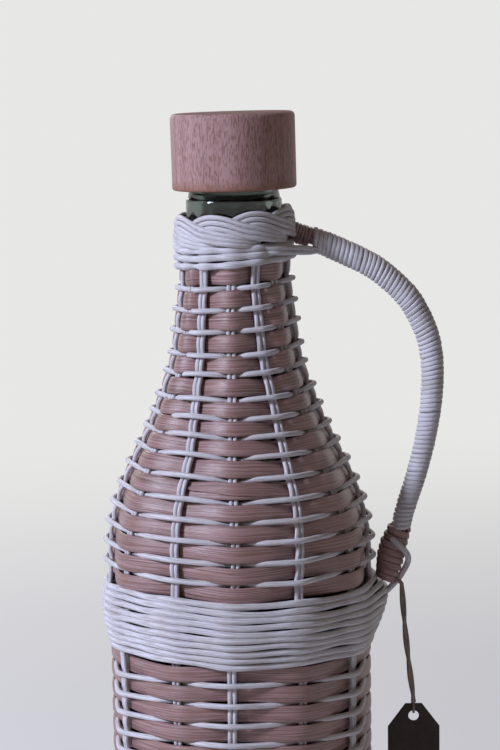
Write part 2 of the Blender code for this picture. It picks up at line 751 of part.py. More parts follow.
def build_tag(thread, card_finish):
    """The string, which hangs from the lashing, and the blank card with clipped corners and a hole."""
    route = smooth_route(string_route, string_points)
    string = rod("tag_string", route, string_radius, thread)
    hang = min(lashing_line(), key=lambda place: float(np.linalg.norm(place - route[0])))
    swing = add_pivot("tag_swing_axis", tuple(hang))
    carry(swing, string)
    middle = route[-1][0]
    top = route[-1][2] - touch_gap
    shoulder = top - card_clip_drop
    half = 0.5 * card_width
    tip = 0.5 * card_tip_width
    outline = [
        (-tip, top), (-half, shoulder), (-half, top - card_length), (half, top - card_length),
        (half, shoulder), (tip, top),
    ]
    front = -0.5 * card_thickness
    shape = bmesh.new()
    corners = [shape.verts.new((middle + x, front, z)) for x, z in outline]
    face = shape.faces.new(corners)
    pulled = bmesh.ops.extrude_face_region(shape, geom=[face])
    moved = [item for item in pulled["geom"] if isinstance(item, bmesh.types.BMVert)]
    bmesh.ops.translate(shape, verts=moved, vec=(0.0, card_thickness, 0.0))
    bmesh.ops.recalc_face_normals(shape, faces=shape.faces)
    mesh = bpy.data.meshes.new("tag_card")
    shape.to_mesh(mesh)
    shape.free()
    card = add_object("tag_card", mesh, card_finish)

    punch = bmesh.new()
    place = Matrix.Translation((middle, 0.0, top - card_hole_drop))
    bmesh.ops.create_cone(
        punch, cap_ends=True, segments=hole_segments, radius1=card_hole_radius,
        radius2=card_hole_radius, depth=card_thickness + 2.0 * cut_overrun,
        matrix=place @ Matrix.Rotation(0.5 * math.pi, 4, "X"),
    )
    punch_mesh = bpy.data.meshes.new("card_hole_cutter")
    punch.to_mesh(punch_mesh)
    punch.free()
    cutter = bpy.data.objects.new("card_hole_cutter", punch_mesh)
    bpy.context.scene.collection.objects.link(cutter)
    cutter.hide_render = True
    cutter.display_type = "WIRE"
    twist = add_pivot("tag_twist_axis", (middle, 0.0, top), swing)
    carry(twist, card, cutter)
    hole = card.modifiers.new("hole", "BOOLEAN")
    hole.operation = "DIFFERENCE"
    hole.object = cutter


def build_bottle():
    """Put the bottle together from the base up."""
    white = material("white_reed", white_reed_colour, 0.55)
    brown = material("brown_reed", brown_reed_colour, 0.45)
    build_base(brown)
    build_glass(material("green_glass", glass_colour, 0.05, transmission=0.9))
    build_stopper(material("cap_beech", beech_colour, 0.6), material("cork", cork_colour, 0.85))

    upper, front_place = stake_angles(upper_stake_degrees, upper_back_stakes)
    upper_covered = [(place - front_place) % 2 == 0 for place in range(len(upper))]
    build_stakes("upper_stake", upper, band_middle + touch_gap, upper_stake_top, white)
    brown_size = (brown_thickness, brown_width)
    white_size = (white_thickness, white_thickness)
    upper_rows, upper_pitch = count_rows(first_upper_row, last_upper_row)
    build_weaver("upper_brown_reed", upper, upper_covered, first_upper_row, upper_pitch,
                 upper_rows, brown_size, brown, True)
    first_white = wall_point(wall_length(first_upper_row) + 0.5 * upper_pitch)[1]
    build_weaver("upper_white_reed", upper, [not covered for covered in upper_covered], first_white,
                 upper_pitch, upper_rows - 1, white_size, white, False)

    lower, front_place = stake_angles(lower_stake_degrees, lower_back_stakes)
    lower_covered = [(place - front_place) % 2 == 1 for place in range(len(lower))]
    build_stakes("lower_stake", lower, WALL_HEIGHTS[0], band_middle - touch_gap, white)
    lower_rows, lower_pitch = count_rows(first_lower_row, last_lower_row)
    build_weaver("lower_brown_reed", lower, lower_covered, first_lower_row, lower_pitch,
                 lower_rows, brown_size, brown, True)
    build_weaver("lower_white_reed", lower, [not covered for covered in lower_covered],
                 first_lower_row + 0.5 * lower_pitch, lower_pitch, lower_rows - 1,
                 white_size, white, False)

    band_pitch = (band_top - band_bottom - band_reed) / (band_rows - 1)
    build_rows("band_reed", band_rows, band_reed, band_bottom + 0.5 * band_reed, band_pitch,
               band_points, white)
    build_rows("collar_rows", collar_rows, collar_reed, collar_bottom + 0.5 * collar_reed,
               collar_row_pitch, collar_points, white)
    build_braid(white)

    rod("handle_core", handle_route(handle_points), handle_core_radius, brown)
    binding_span, winding_span = winding_spans()
    turns = int((winding_span[1] - winding_span[0]) / (wrap_reed_width + wrap_gap))
    wind_handle("handle_wrap", winding_span, turns, wrap_reed_width, wrap_reed_thickness, white)
    wind_handle("handle_top_binding", binding_span, top_binding_turns, top_binding_reed_width,
                brown_thickness, brown)
    build_foot_binding(brown)
    rod("handle_lashing", lashing_line(), lashing_radius, white)
    build_tag(material("string_grey", string_colour, 0.8), material("card_paper", card_colour, 0.8))


clear_scene()
build_bottle()
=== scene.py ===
import math

import bpy
import numpy as np
from mathutils import Matrix, Vector


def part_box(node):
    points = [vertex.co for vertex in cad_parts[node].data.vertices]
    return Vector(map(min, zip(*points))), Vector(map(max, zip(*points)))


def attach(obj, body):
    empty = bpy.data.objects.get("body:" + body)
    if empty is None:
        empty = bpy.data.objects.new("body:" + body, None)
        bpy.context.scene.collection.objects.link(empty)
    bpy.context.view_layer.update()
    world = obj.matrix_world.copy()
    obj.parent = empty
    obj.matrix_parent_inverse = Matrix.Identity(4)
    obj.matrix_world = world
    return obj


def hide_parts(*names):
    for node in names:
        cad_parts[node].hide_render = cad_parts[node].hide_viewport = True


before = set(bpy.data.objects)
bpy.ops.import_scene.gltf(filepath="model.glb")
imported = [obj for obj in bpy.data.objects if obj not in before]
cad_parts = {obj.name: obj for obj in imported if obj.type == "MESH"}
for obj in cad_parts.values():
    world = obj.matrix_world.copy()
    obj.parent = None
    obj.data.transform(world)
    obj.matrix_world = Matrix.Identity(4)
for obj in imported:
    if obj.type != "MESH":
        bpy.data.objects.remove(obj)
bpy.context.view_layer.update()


# Camera. It stands 0.68 m in front of the bottle, a little above its cap, and looks down on it, so
# that its lowest third is below the edge of the picture, which is 500 wide and 750 tall.
camera_place = (0.0044, -0.68, 0.316)
camera_lens = 99.36
camera_sensor = 36.0
camera_down_degrees = 8.65
camera_roll_degrees = -0.86

lens = bpy.data.cameras.new("camera")
lens.lens = camera_lens
lens.sensor_width = camera_sensor
lens.clip_start = 0.01
camera = bpy.data.objects.new("camera", lens)
bpy.context.scene.collection.objects.link(camera)
camera.matrix_world = (
    Matrix.Translation(camera_place)
    @ Matrix.Rotation(math.radians(90.0 - camera_down_degrees), 4, "X")
    @ Matrix.Rotation(math.radians(camera_roll_degrees), 4, "Z")
)
bpy.context.scene.camera = camera


# Tag string: two plies of grey twine, hardly twisted. It is tied round the white reed at the foot
# of the handle, hangs free for 42 mm, and passes through the hole of the card.
string_route = np.array([
    (0.0545, 0.0, 0.1407), (0.05469, -0.00008, 0.13771), (0.05488, -0.00016, 0.13473),
    (0.05509, -0.00022, 0.13174), (0.0553, -0.00027, 0.12876), (0.05553, -0.00029, 0.12577),
    (0.0558, -0.00031, 0.12279), (0.0561, -0.00032, 0.11982), (0.05642, -0.0003, 0.11684),
    (0.05674, -0.00023, 0.11386), (0.05708, -0.00015, 0.11089), (0.05743, -0.00008, 0.10792),
    (0.05782, -0.00003, 0.10495), (0.0582, 0.0, 0.10199), (0.0584, 0.0, 0.099),
])
ply_radius = 0.00068
ply_turns, ply_apart = 1.6, 0.55
string_rings, string_sides = 160, 20
string_light = (0.36, 0.3, 0.26, 1.0)
string_dark = (0.17, 0.135, 0.115, 1.0)


class Wire:
    """A socket of a material's nodes, written with as if it were a number."""

    def __init__(self, tree, socket=None):
        self.tree, self.socket = tree, socket

    def node(self, kind, settings, inputs, output=0):
        """Add a node: its settings first, then its sockets' values or links. Returns one output."""
        made = self.tree.nodes.new("ShaderNode" + kind)
        for key, value in settings.items():
            setattr(made, key, value)
        for key, value in inputs.items():
            if isinstance(value, Wire):
                value.into(made, key)
            else:
                made.inputs[key].default_value = value
        return Wire(self.tree, made.outputs[output])

    def into(self, node, key):
        """Lead this value into a socket of a node."""
        self.tree.links.new(self.socket, node.inputs[key])

    def calculate(self, operation, *values):
        return self.node("Math", {"operation": operation}, dict(enumerate(values)))

    def __add__(self, other):
        return self.calculate("ADD", self, other)

    def __sub__(self, other):
        return self.calculate("SUBTRACT", self, other)

    def __rsub__(self, other):
        return self.calculate("SUBTRACT", other, self)

    def __mul__(self, other):
        return self.calculate("MULTIPLY", self, other)

    __radd__, __rmul__ = __add__, __mul__

    def mixed(self, low, high):
        """A colour between two colours, by this value."""
        return self.node("Mix", {"data_type": "RGBA"}, {0: self, 6: low, 7: high}, 2)

    def between(self, low, high):
        """This value from 0 at low to 1 at high, smoothly."""
        return self.node("MapRange", {"interpolation_type": "SMOOTHSTEP"}, {0: self, 1: low, 2: high})

    def grain(self, scales, detail=3.0, roughness=0.55):
        """Noise on these coordinates, stretched by a scale for each direction."""
        placed = self.node("Mapping", {}, {0: self, 3: scales})
        return self.node(
            "TexNoise", {}, {"Vector": placed, "Scale": 1.0, "Detail": detail, "Roughness": roughness}
        )


def new_finish(name, slot=None, **constants):
    """A material with constant shader values. Returns it with its slot, its shader and the object's
    own coordinates as a wire."""
    finish = bpy.data.materials.new(name)
    finish.use_nodes = True
    shader = finish.node_tree.nodes["Principled BSDF"]
    for key, value in constants.items():
        shader.inputs[key.replace("_", " ").title().replace("Ior", "IOR")].default_value = value
    return (finish, slot), shader, Wire(finish.node_tree).node("TexCoord", {}, {}, "Object")


def wire_up(shader, colour, roughness, height, depth, strength=1.0):
    """Lead the colour, the roughness and a height for the bump into the shader."""
    bump = height.node("Bump", {}, {"Strength": strength, "Distance": depth, "Height": height})
    for key, value in (("Base Color", colour), ("Roughness", roughness), ("Normal", bump)):
        value.into(shader, key)


def sampled(at, places, rows):
    """Rows of numbers read between their own places, each column by itself."""
    return np.stack([np.interp(at, places, column) for column in np.transpose(rows)], axis=-1)


def averaged(rows, count, mode="valid"):
    """Rows of numbers under a raised-cosine average over a count of rows, each column by itself."""
    window = np.hanning(count) / np.hanning(count).sum()
    return np.stack([np.convolve(column, window, mode) for column in np.transpose(rows)], axis=-1)


def smooth_line(points, count):
    """A curve through the points, a cubic between each two whose slopes are those of the chords on
    either side, cut again at places that are evenly spaced along its length."""
    points = np.asarray(points, float)
    padded = np.vstack([2 * points[0] - points[1], points, 2 * points[-1] - points[-2]])
    spans = len(points) - 1
    place = np.linspace(0.0, spans, 40 * spans + 1)
    first = np.minimum(place.astype(int), spans - 1)
    share = (place - first)[:, None]
    a, b, c, d = (padded[first + step] for step in range(4))
    curve = 0.5 * (
        2 * b + (c - a) * share + (2 * a - 5 * b + 4 * c - d) * share**2
        + (3 * b - a - 3 * c + d) * share**3
    )
    lengths = line_lengths(curve)
    return sampled(np.linspace(0.0, lengths[-1], count), lengths, curve)


def line_lengths(line):
    """The length along a line at each of its points: the sum of the steps before it."""
    steps = np.linalg.norm(np.diff(line, axis=0), axis=1)
    return np.concatenate([[0.0], np.cumsum(steps)])


def unit(vectors):
    """Each vector divided by its own length."""
    return vectors / np.linalg.norm(vectors, axis=-1, keepdims=True)


def directions(line, side):
    """At each point of a line, the direction square to it that is nearest to side, and the one
    square to both: side less its part along the line, and the line's run crossed with that."""
    run = unit(np.gradient(line, axis=0))
    side = np.broadcast_to(np.asarray(side, float), line.shape)
    out = unit(side - np.sum(side * run, axis=1, keepdims=True) * run)
    return out, np.cross(run, out)


def carried(line, outs, ups, across, upward):
    """A section carried along a line: every point is the line's point + across * out + upward * up.
    Returns the grid of points, with a row for each ring, and the length along the line. Where the
    line ends at its own start, so does the grid."""
    across, upward = np.atleast_2d(across), np.atleast_2d(upward)
    points = (
        line[:, None, :] + across[..., None] * outs[:, None, :] + upward[..., None] * ups[:, None, :]
    )
    if np.array_equal(line[0], line[-1]):
        points[-1] = points[0]
    return points, line_lengths(line)


def round_section(sides, radius):
    """Points of a circle: radius times the cosine and the sine of even turns."""
    turns = math.tau * np.arange(sides) / sides
    return radius * np.cos(turns), radius * np.sin(turns)


def rod(line, side, radius, sides=12, wide=1.0):
    """A rod along a line: circles of its radius at each point, made wide times as wide along side."""
    across, upward = round_section(sides, 1.0)
    radius = np.broadcast_to(radius, len(line))
    section = np.outer(wide * radius, across), np.outer(radius, upward)
    return carried(line, *directions(line, side), *section)


def cell_corners(table):
    """The corners of each cell of a table, four in turn round the cell."""
    return np.stack([table[:-1, :-1], table[:-1, 1:], table[1:, 1:], table[1:, :-1]], axis=2)


def piece(name, grids, look, stands_for=(), body="bottle"):
    """A piece of tubes. Each grid is rings of points with the length along it. A face joins each
    four neighbours, rings are closed round, and a fan to the ring's middle closes each end. Where
    the last ring is the first again, the tube is joined to itself. A tube whose volume comes out
    under 0 is turned. The map holds the metres along and the share of the way round."""
    finish, slot = look
    verts, faces, maps, first = [], [], [], 0
    for points, along in grids:
        rings, sides = points.shape[:2]
        closed = np.allclose(points[0], points[-1], atol=1e-7)
        middles = np.repeat(points[[0, -1]].mean(axis=1, keepdims=True), sides, axis=1)
        skin = points if closed else np.concatenate([middles[:1], points, middles[1:]])
        a, b, c, d = np.moveaxis(cell_corners(np.hstack([skin, skin[:, :1]])), 2, 0)
        if np.sum(np.cross(a, b) * c + np.cross(a, c) * d) < 0.0:
            points = points[:, ::-1]
        index = first + np.arange(rings * sides).reshape(rings, sides)
        if closed:
            points, index[-1] = points[:-1], index[0]
        verts.append(points.reshape(-1, 3))
        first += len(verts[-1])
        faces += cell_corners(np.hstack([index, index[:, :1]])).reshape(-1, 4).tolist()
        places = np.broadcast_arrays(along[:, None], np.arange(sides + 1) / sides)
        maps.append(cell_corners(np.stack(places, axis=-1)).ravel())
        if closed:
            continue
        ends = (index[0, ::-1], points[0], along[0]), (index[-1], points[-1], along[-1])
        for ring, row, place in ends:
            verts.append(row.mean(axis=0, keepdims=True))
            faces += np.stack([ring, np.roll(ring, -1), np.full(sides, first)], axis=-1).tolist()
            maps.append(np.tile([place, 0.5], 3 * sides))
            first += 1
    mesh = bpy.data.meshes.new(name)
    mesh.from_pydata(np.concatenate(verts), [], faces)
    mesh.polygons.foreach_set("use_smooth", [len(face) == 4 for face in faces])
    layer = mesh.uv_layers.new(name="strand")
    layer.data.foreach_set("uv", np.concatenate(maps).astype(np.float32))
    mesh.validate()
    mesh.materials.append(finish)
    made = bpy.data.objects.new(name, mesh)
    bpy.context.scene.collection.objects.link(made)
    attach(made, body)
    if stands_for:
        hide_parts(*stands_for)
    return made


twine, shader, place = new_finish("twisted_twine", "string_grey", specular_ior_level=0.3)
fibres = place.node("UVMap", {"uv_map": "strand"}, {}).grain((420.0, 14.0, 1.0), detail=4.0)
patches = place.grain((160.0,) * 3, detail=2.0)
colour = (fibres * 0.7 + patches * 0.3).between(0.32, 0.68).mixed(string_dark, string_light)
wire_up(shader, colour, fibres * 0.2 + 0.72, fibres, 0.00012)

# At each turn round the section it reaches to the further of two circles, whose middles lie apart on
# either side by a share of a ply's radius. That pair turns evenly as it goes along.
line = smooth_line(string_route, string_rings)
round_turn = math.tau * np.arange(string_sides) / string_sides
angle = round_turn - math.tau * ply_turns * np.linspace(0.0, 1.0, string_rings)[:, None]
reach = ply_apart * np.abs(np.cos(angle)) + np.sqrt(1.0 - (ply_apart * np.sin(angle)) ** 2)
section = ply_radius * reach * np.cos(round_turn), ply_radius * reach * np.sin(round_turn)
grid = carried(line, *directions(line, (0.0, 1.0, 0.0)), *section)
string = piece("tag_twine", [grid], twine, ["tag_string"], "tag_hanger")

# Hitch: the same twine where it goes once round the white reed and comes back on itself.
hitch_middle = np.array((0.05318, 0.00014, 0.14211))
hitch_long, hitch_wide, hitch_radius = 0.00215, 0.00178, 0.00052
turn = np.linspace(0.12, math.tau - 0.12, 24)
down = hitch_long * np.cos(turn)
loop = hitch_middle + np.column_stack([0.684 * down, hitch_wide * np.sin(turn), -0.73 * down])
grid = rod(smooth_line(loop, 48), (0.73, 0.0, 0.684), hitch_radius)
piece("tag_hitch", [grid], twine, body="tag_hanger")


# Tag card: stiff dark paper with clipped upper corners, bare on both faces, with a hole under its
# tip. The twine goes through the hole and holds the card under the hole's upper edge.
card_middle, card_top, card_bottom, card_shoulder = 0.0584, 0.0987, 0.0687, 0.0907
card_half, card_tip_half = 0.0088, 0.0028
card_hole_height, card_hole_radius = 0.0944, 0.0018
card_thickness, card_edge = 0.0006, 0.00008
card_curl = 0.00022
card_light = (0.06, 0.045, 0.037, 1.0)
card_dark = (0.036, 0.026, 0.022, 1.0)


def card_grid():
    """The card as a band round its hole. For each direction from the hole's middle, the outline is
    as far as the nearest of its six straight sides, each side's distance divided by the cosine
    between them. The band's section runs over the front face, the edge, the back face and the hole."""
    outline = np.array([
        (-card_tip_half, card_top), (-card_half, card_shoulder), (-card_half, card_bottom),
        (card_half, card_bottom), (card_half, card_shoulder), (card_tip_half, card_top),
    ]) - (0.0, card_hole_height)
    along = np.roll(outline, -1, axis=0) - outline
    normals = unit(along[:, ::-1] * (1.0, -1.0))
    turns = np.sort(np.concatenate([
        np.linspace(0.0, math.tau, 120, endpoint=False),
        np.mod(np.arctan2(outline[:, 1], outline[:, 0]), math.tau),
    ]))
    heading = np.stack([np.cos(turns), np.sin(turns)], axis=1)
    facing = heading @ normals.T
    reach = np.sum(normals * outline, axis=1) / np.maximum(facing, 1e-6)
    edge = np.min(np.where(facing > 1e-6, reach, 1.0), axis=1)[:, None]
    shares = np.array([0.0, 0.02, 0.25, 0.5, 0.75, 0.98, 1.0])
    out = card_hole_radius + (edge - card_hole_radius) * shares
    depth = 0.5 * card_thickness - card_edge * np.isin(shares, (0.0, 1.0))
    out = np.concatenate([out, out[:, ::-1]], axis=1)
    x, z = out * heading[:, :1], out * heading[:, 1:]
    y = -np.concatenate([depth, -depth]) - card_curl * (x / card_half) ** 2
    grid = np.stack([card_middle + x, y, card_hole_height + z], axis=-1)
    grid = np.concatenate([grid, grid[:1]], axis=0)
    return grid, np.linspace(0.0, 0.08, len(grid))


paper, shader, place = new_finish("dark_card", "card_paper", specular_ior_level=0.25)
pulp = place.grain((2600.0,) * 3, detail=4.0)
clouds = place.grain((110.0,) * 3, detail=2.0)
colour = (pulp * 0.5 + clouds * 0.5).between(0.35, 0.65).mixed(card_dark, card_light)
wire_up(shader, colour, pulp * 0.15 + 0.72, pulp, 0.00004)
card = piece("tag_blank_card", [card_grid()], paper, ["tag_card"], "tag")

# The twine's loop through the hole, the same in front of the card and behind it
tail_radius = 0.00042
tail_half = np.array([
    (card_middle, -0.0003, 0.0993), (card_middle, -0.00082, 0.0982), (card_middle, -0.00082, 0.0968),
    (card_middle, -0.00062, 0.0959), (card_middle, 0.0, 0.09555),
])
tail_route = np.concatenate([tail_half, tail_half[-2::-1] * (1.0, -1.0, 1.0)])
grid = rod(smooth_line(tail_route, 48), (1.0, 0.0, 0.0), tail_radius)
tail = piece("tag_twine_loop", [grid], twine, body="tag")


# Light and floor: a lamp on the left and a little in front, as a cool window, a weak broad one
# behind, and a pale warm room. The floor is plain and pale, keeps the bottle's shadow, and fades
# into the room's colour further out, so that no edge shows behind the bottle.
floor_half = 6.0
floor_near, floor_far = 0.3, 1.1
room_colour = floor_colour = (0.8, 0.8, 0.79, 1.0)
room_warmth = (0.86, 0.69, 0.55, 1.0)
room_seen, room_light = 1.0, 0.13
black = (0.0, 0.0, 0.0, 1.0)
lamps = (
    ("window_lamp", (-1.28, -0.72, 1.00), 0.28, 29.5, (0.72, 0.785, 1.0)),
    ("back_lamp", (-0.3, 1.32, 0.85), 0.9, 6.0, (1.0, 0.97, 0.93)),
)
lamp_aim = Vector((0.0, 0.0, 0.19))

for name, spot, size, power, colour in lamps:
    lamp = bpy.data.lights.new(name, "AREA")
    lamp.shape, lamp.size, lamp.energy, lamp.color = "DISK", size, power, colour
    holder = bpy.data.objects.new(name, lamp)
    bpy.context.scene.collection.objects.link(holder)
    facing = (lamp_aim - Vector(spot)).to_track_quat("-Z", "Y").to_matrix().to_4x4()
    holder.matrix_world = Matrix.Translation(spot) @ facing


def seen_rays(wire):
    """1 for what the camera sees, straight or in a mirror or through glass, and 0 for light."""
    straight, mirrored, through = (
        wire.node("LightPath", {}, {}, f"Is {kind} Ray")
        for kind in ("Camera", "Glossy", "Transmission")
    )
    return wire.calculate("MINIMUM", straight + mirrored + through, 1.0)


room = bpy.data.worlds.new("room")
bpy.context.scene.world = room
room.use_nodes = True
backdrop = room.node_tree.nodes["Background"]
seen = seen_rays(Wire(room.node_tree))
(seen * (room_seen - room_light) + room_light).into(backdrop, "Strength")
seen.mixed(room_warmth, room_colour).into(backdrop, "Color")
bpy.context.scene.view_settings.view_transform = "Standard"

(floor_finish, _), shader, place = new_finish(
    "pale_floor", roughness=1.0, specular_ior_level=0.0, emission_strength=1.0
)
reach = place.node("VectorMath", {"operation": "LENGTH"}, {0: place}, "Value")
far = reach.between(floor_near, floor_far)
far.mixed(floor_colour, black).into(shader, "Base Color")
((far * 0.84 + 0.16) * seen_rays(place)).mixed(black, room_colour).into(shader, "Emission Color")
floor_mesh = bpy.data.meshes.new("floor")
floor_mesh.from_pydata(
    [(x * floor_half, y * floor_half, 0.0) for x, y in ((-1, -1), (1, -1), (1, 1), (-1, 1))],
    [], [(0, 1, 2, 3)],
)
floor_mesh.materials.append(floor_finish)
floor = bpy.data.objects.new("floor", floor_mesh)
bpy.context.scene.collection.objects.link(floor)


# Glass bottle: pale green, blown into a mould, with a punt underneath, a bead round the neck and a
# plain lip. It follows the woven wall at a small distance, and only its neck is bare.
lower_radius, upper_radius, neck_radius = 0.0423, 0.0432, 0.0169
neck_taper_share = 0.1
band_bottom, band_top, band_swell = 0.1244, 0.1461, 0.0013
shoulder_foot, shoulder_top, neck_height = 0.154, 0.222, 0.2476
collar_middle, collar_flare, collar_flare_reach = 0.25363, 0.001, 0.0075
fullness = ((0.0012, 0.21, 0.0115), (0.0004, 0.228, 0.01))
glass_clearance, glass_radius, glass_wall, glass_foot = 0.0033, 0.039, 0.0026, 0.0027
heel_radius, foot_width, punt_height, floor_thickness = 0.008, 0.004, 0.01, 0.004
bead_foot, bead_height, bead_slope, bead_radius, bead_round = 0.26046, 0.0117, 0.0016, 0.0158, 0.0018
lip_radius, lip_top, lip_round, mouth_radius = 0.0148, 0.28596, 0.0008, 0.0105
# The tint is painted darker than pale green glass: painted shade for the dark surroundings seen through
# the neck.
glass_tint = (0.108, 0.136, 0.125, 1.0)
glass_clear = (0.165, 0.2, 0.185, 1.0)
glass_painted_shade = (0.03, 0.045, 0.04, 1.0)


def wall_radius(height):
    """Middle radius of the stakes: the lower radius, rising through the band to the upper one by a
    sine, with a swell of one cosine in the band. Up the shoulder a cosine leads it over to the
    neck's straight taper, two low bell curves fill the upper shoulder out, and one cosine flares it
    at the collar."""
    half = 0.5 * (band_top - band_bottom) + 0.0044
    rise = np.clip((height - 0.5 * (band_bottom + band_top)) / half, -1.0, 1.0)
    wall = lower_radius + (upper_radius - lower_radius) * 0.5 * (1.0 + rise)
    wall = wall + 0.5 * band_swell * (1.0 + np.cos(math.pi * rise))
    neck = neck_radius + neck_taper_share * (neck_height - height)
    climb = np.clip((height - shoulder_foot) / (shoulder_top - shoulder_foot), 0.0, 1.0)
    body_share = 0.5 * (1.0 + np.cos(math.pi * climb))
    flare = np.clip((height - collar_middle) / collar_flare_reach, -1.0, 1.0)
    flare = 0.5 * collar_flare * (1.0 + np.cos(math.pi * flare))
    full = sum(size * np.exp(-((height - middle) / spread) ** 2) for size, middle, spread in fullness)
    return neck + (wall - neck) * body_share + flare + full


wall_heights = np.linspace(0.0, 0.262, 1050)
wall_radii = wall_radius(wall_heights)
wall_lengths = line_lengths(np.column_stack([wall_radii, wall_heights]))
wall_table = np.column_stack([
    wall_radii, wall_heights, np.gradient(wall_heights, wall_lengths),
    -np.gradient(wall_radii, wall_lengths),
])


def length_up(height):
    """Length up the wall at a height, read from the wall's table."""
    return np.interp(height, wall_heights, wall_lengths)


def on_wall(length):
    """Radius and height at a length up the wall, and the outward direction there, as a share along
    the radius and a share along the height."""
    read = sampled(length, wall_lengths, wall_table)
    return read[..., 0], read[..., 1], read[..., 2:]


def around(angle, radius, height):
    """Points at an angle round the bottle from its front, at a radius and a height."""
    return np.stack(np.broadcast_arrays(radius * np.sin(angle), -radius * np.cos(angle), height), -1)


def turned(outline, sides=144):
    """An outline of radii and heights turned round the bottle's axis: a ring for each point."""
    turns = math.tau * np.arange(sides) / sides
    return around(turns, outline[:, :1], outline[:, 1:]), line_lengths(outline)


def quarter(middle, radius, start_degrees, end_degrees, count=7):
    """Part of a circle in an outline: the middle + radius times the cosine and the sine."""
    turns = np.radians(np.linspace(start_degrees, end_degrees, count))
    return np.column_stack([middle[0] + radius * np.cos(turns), middle[1] + radius * np.sin(turns)])


shoulder_lengths = np.linspace(length_up(shoulder_foot), length_up(neck_height), 60)
radius, height, out = on_wall(shoulder_lengths)
shoulder = np.column_stack([radius, height]) - glass_clearance * out
shoulder[:, 0] = np.minimum(shoulder[:, 0], glass_radius)
punt_reach = glass_radius - heel_radius - foot_width
rise = np.linspace(0.5 * math.pi, 0.0, 16)
punt = np.column_stack([punt_reach * np.cos(rise), punt_height * np.sin(rise)])
punt[0, 0] = 0.0004
inner_shoulder = shoulder[::-1].copy()
inner_shoulder[:, 0] = np.maximum(mouth_radius, inner_shoulder[:, 0] - glass_wall)
floor_height = glass_foot + floor_thickness
glass_outline = np.vstack([
    punt + (0.0, glass_foot),
    quarter((glass_radius - heel_radius, glass_foot + heel_radius), heel_radius, -90, 0),
    shoulder,
    [(shoulder[-1, 0], bead_foot - bead_slope)],
    quarter((bead_radius - 0.0008, bead_foot + 0.0004), 0.0008, -60, 0, 5),
    quarter((bead_radius - bead_round, bead_foot + bead_height - bead_round), bead_round, 0, 50, 9),
    [(lip_radius, bead_foot + bead_height + bead_slope)],
    quarter((lip_radius - lip_round, lip_top - lip_round), lip_round, 0, 90),
    quarter((mouth_radius + lip_round, lip_top - lip_round), lip_round, 90, 180),
    inner_shoulder,
    quarter(
        (glass_radius - heel_radius, floor_height + heel_radius - glass_wall),
        heel_radius - glass_wall, 0, -90,
    ),
    punt[::-1] + (0.0, floor_height),
])
green_glass, shader, place = new_finish(
    "green_glass", "green_glass", transmission_weight=1.0, ior=1.5, roughness=0.03,
    base_color=glass_tint,
)
ripple = place.grain((90.0, 90.0, 45.0), detail=1.0)
smears = place.grain((240.0, 240.0, 60.0), detail=3.0)
high = place.node("SeparateXYZ", {}, {0: place}, 2)
tint = smears.between(0.3, 0.75).mixed(glass_tint, glass_clear)
# Painted shade: below the collar the glass is painted almost black, so that the gaps in the weave look
# dark.
tint = high.between(0.2535, 0.259).mixed(glass_painted_shade, tint)
wire_up(shader, tint, smears.between(0.45, 0.8) * 0.02 + 0.004, ripple, 0.0006)
piece("glass", [turned(glass_outline)], green_glass, ["glass_bottle"])


# Stopper: a cap turned from beech, its grain upright, with a recess over the lip, and a cork glued
# into the middle of it. The cap sits a little askew on the lip.
cap_foot, cap_height, cap_round = 0.2745, 0.0248, 0.0016
cap_radius, recess_radius, recess_depth = 0.0204, 0.0166, 0.012
cap_tilt_degrees = -0.9
cork_radius, cork_narrow, cork_foot, cork_top = 0.0101, 0.0095, 0.27619, 0.29269
socket_radius, socket_depth = 0.01055, 0.0068
beech_light = (0.505, 0.312, 0.302, 1.0)
beech_dark = (0.24, 0.126, 0.112, 1.0)
beech_edge = (0.28, 0.122, 0.062, 1.0)
beech_end_grain_and_painted_shade = (0.15, 0.078, 0.062, 1.0)
cork_light = (0.5, 0.33, 0.19, 1.0)
cork_dark = (0.16, 0.085, 0.045, 1.0)

roof = cap_foot + recess_depth
socket_top = roof + socket_depth
cap_top = cap_foot + cap_height
cap_outline = np.vstack([
    [(0.0002, socket_top), (socket_radius, socket_top), (socket_radius, roof), (recess_radius, roof)],
    [(recess_radius, cap_foot + 0.0004)],
    quarter((recess_radius + 0.0004, cap_foot + 0.0004), 0.0004, 180, 270, 4),
    quarter((cap_radius - 0.0009, cap_foot + 0.0009), 0.0009, -90, 0),
    quarter((cap_radius - cap_round, cap_top - cap_round), cap_round, 0, 90),
    [(0.6 * cap_radius, cap_top + 0.00008), (0.0002, cap_top + 0.00012)],
])
top_starts = line_lengths(cap_outline)[-3]
beech, shader, place = new_finish("turned_beech", "cap_beech", specular_ior_level=0.25)
strand = place.node("UVMap", {"uv_map": "strand"}, {})
over_top = strand.node("SeparateXYZ", {}, {0: strand}, 0).between(top_starts - 0.0012, top_starts)
flecks = place.grain((2300.0, 2300.0, 430.0), detail=2.0)
pores = place.grain((6000.0, 6000.0, 1500.0), detail=2.0)
years = place.grain((260.0, 420.0, 14.0), detail=3.0)
high = place.node("SeparateXYZ", {}, {0: place}, 2)
handled = (1.0 - high.between(cap_foot - 0.0008, cap_foot + 0.0044)) * 0.8
fleck_mask = (1.0 - flecks).between(0.46, 0.62) * 1.1
tone = (1.0 - fleck_mask) * 0.6 + years.between(0.3, 0.7) * 0.4
colour = tone.mixed(beech_dark, beech_light)
colour = (handled + pores.between(0.6, 0.72) * 0.25).mixed(colour, beech_edge)
# The top face is painted much darker: partly the end grain's own darker colour, partly painted shade
# that takes the light off the top.
colour = (over_top * 0.85).mixed(colour, beech_end_grain_and_painted_shade)
gloss = flecks * 0.2 + over_top * 0.35 + 0.45
wire_up(shader, colour, gloss, pores * 0.5 + flecks * 0.5, 0.0001, 0.8)

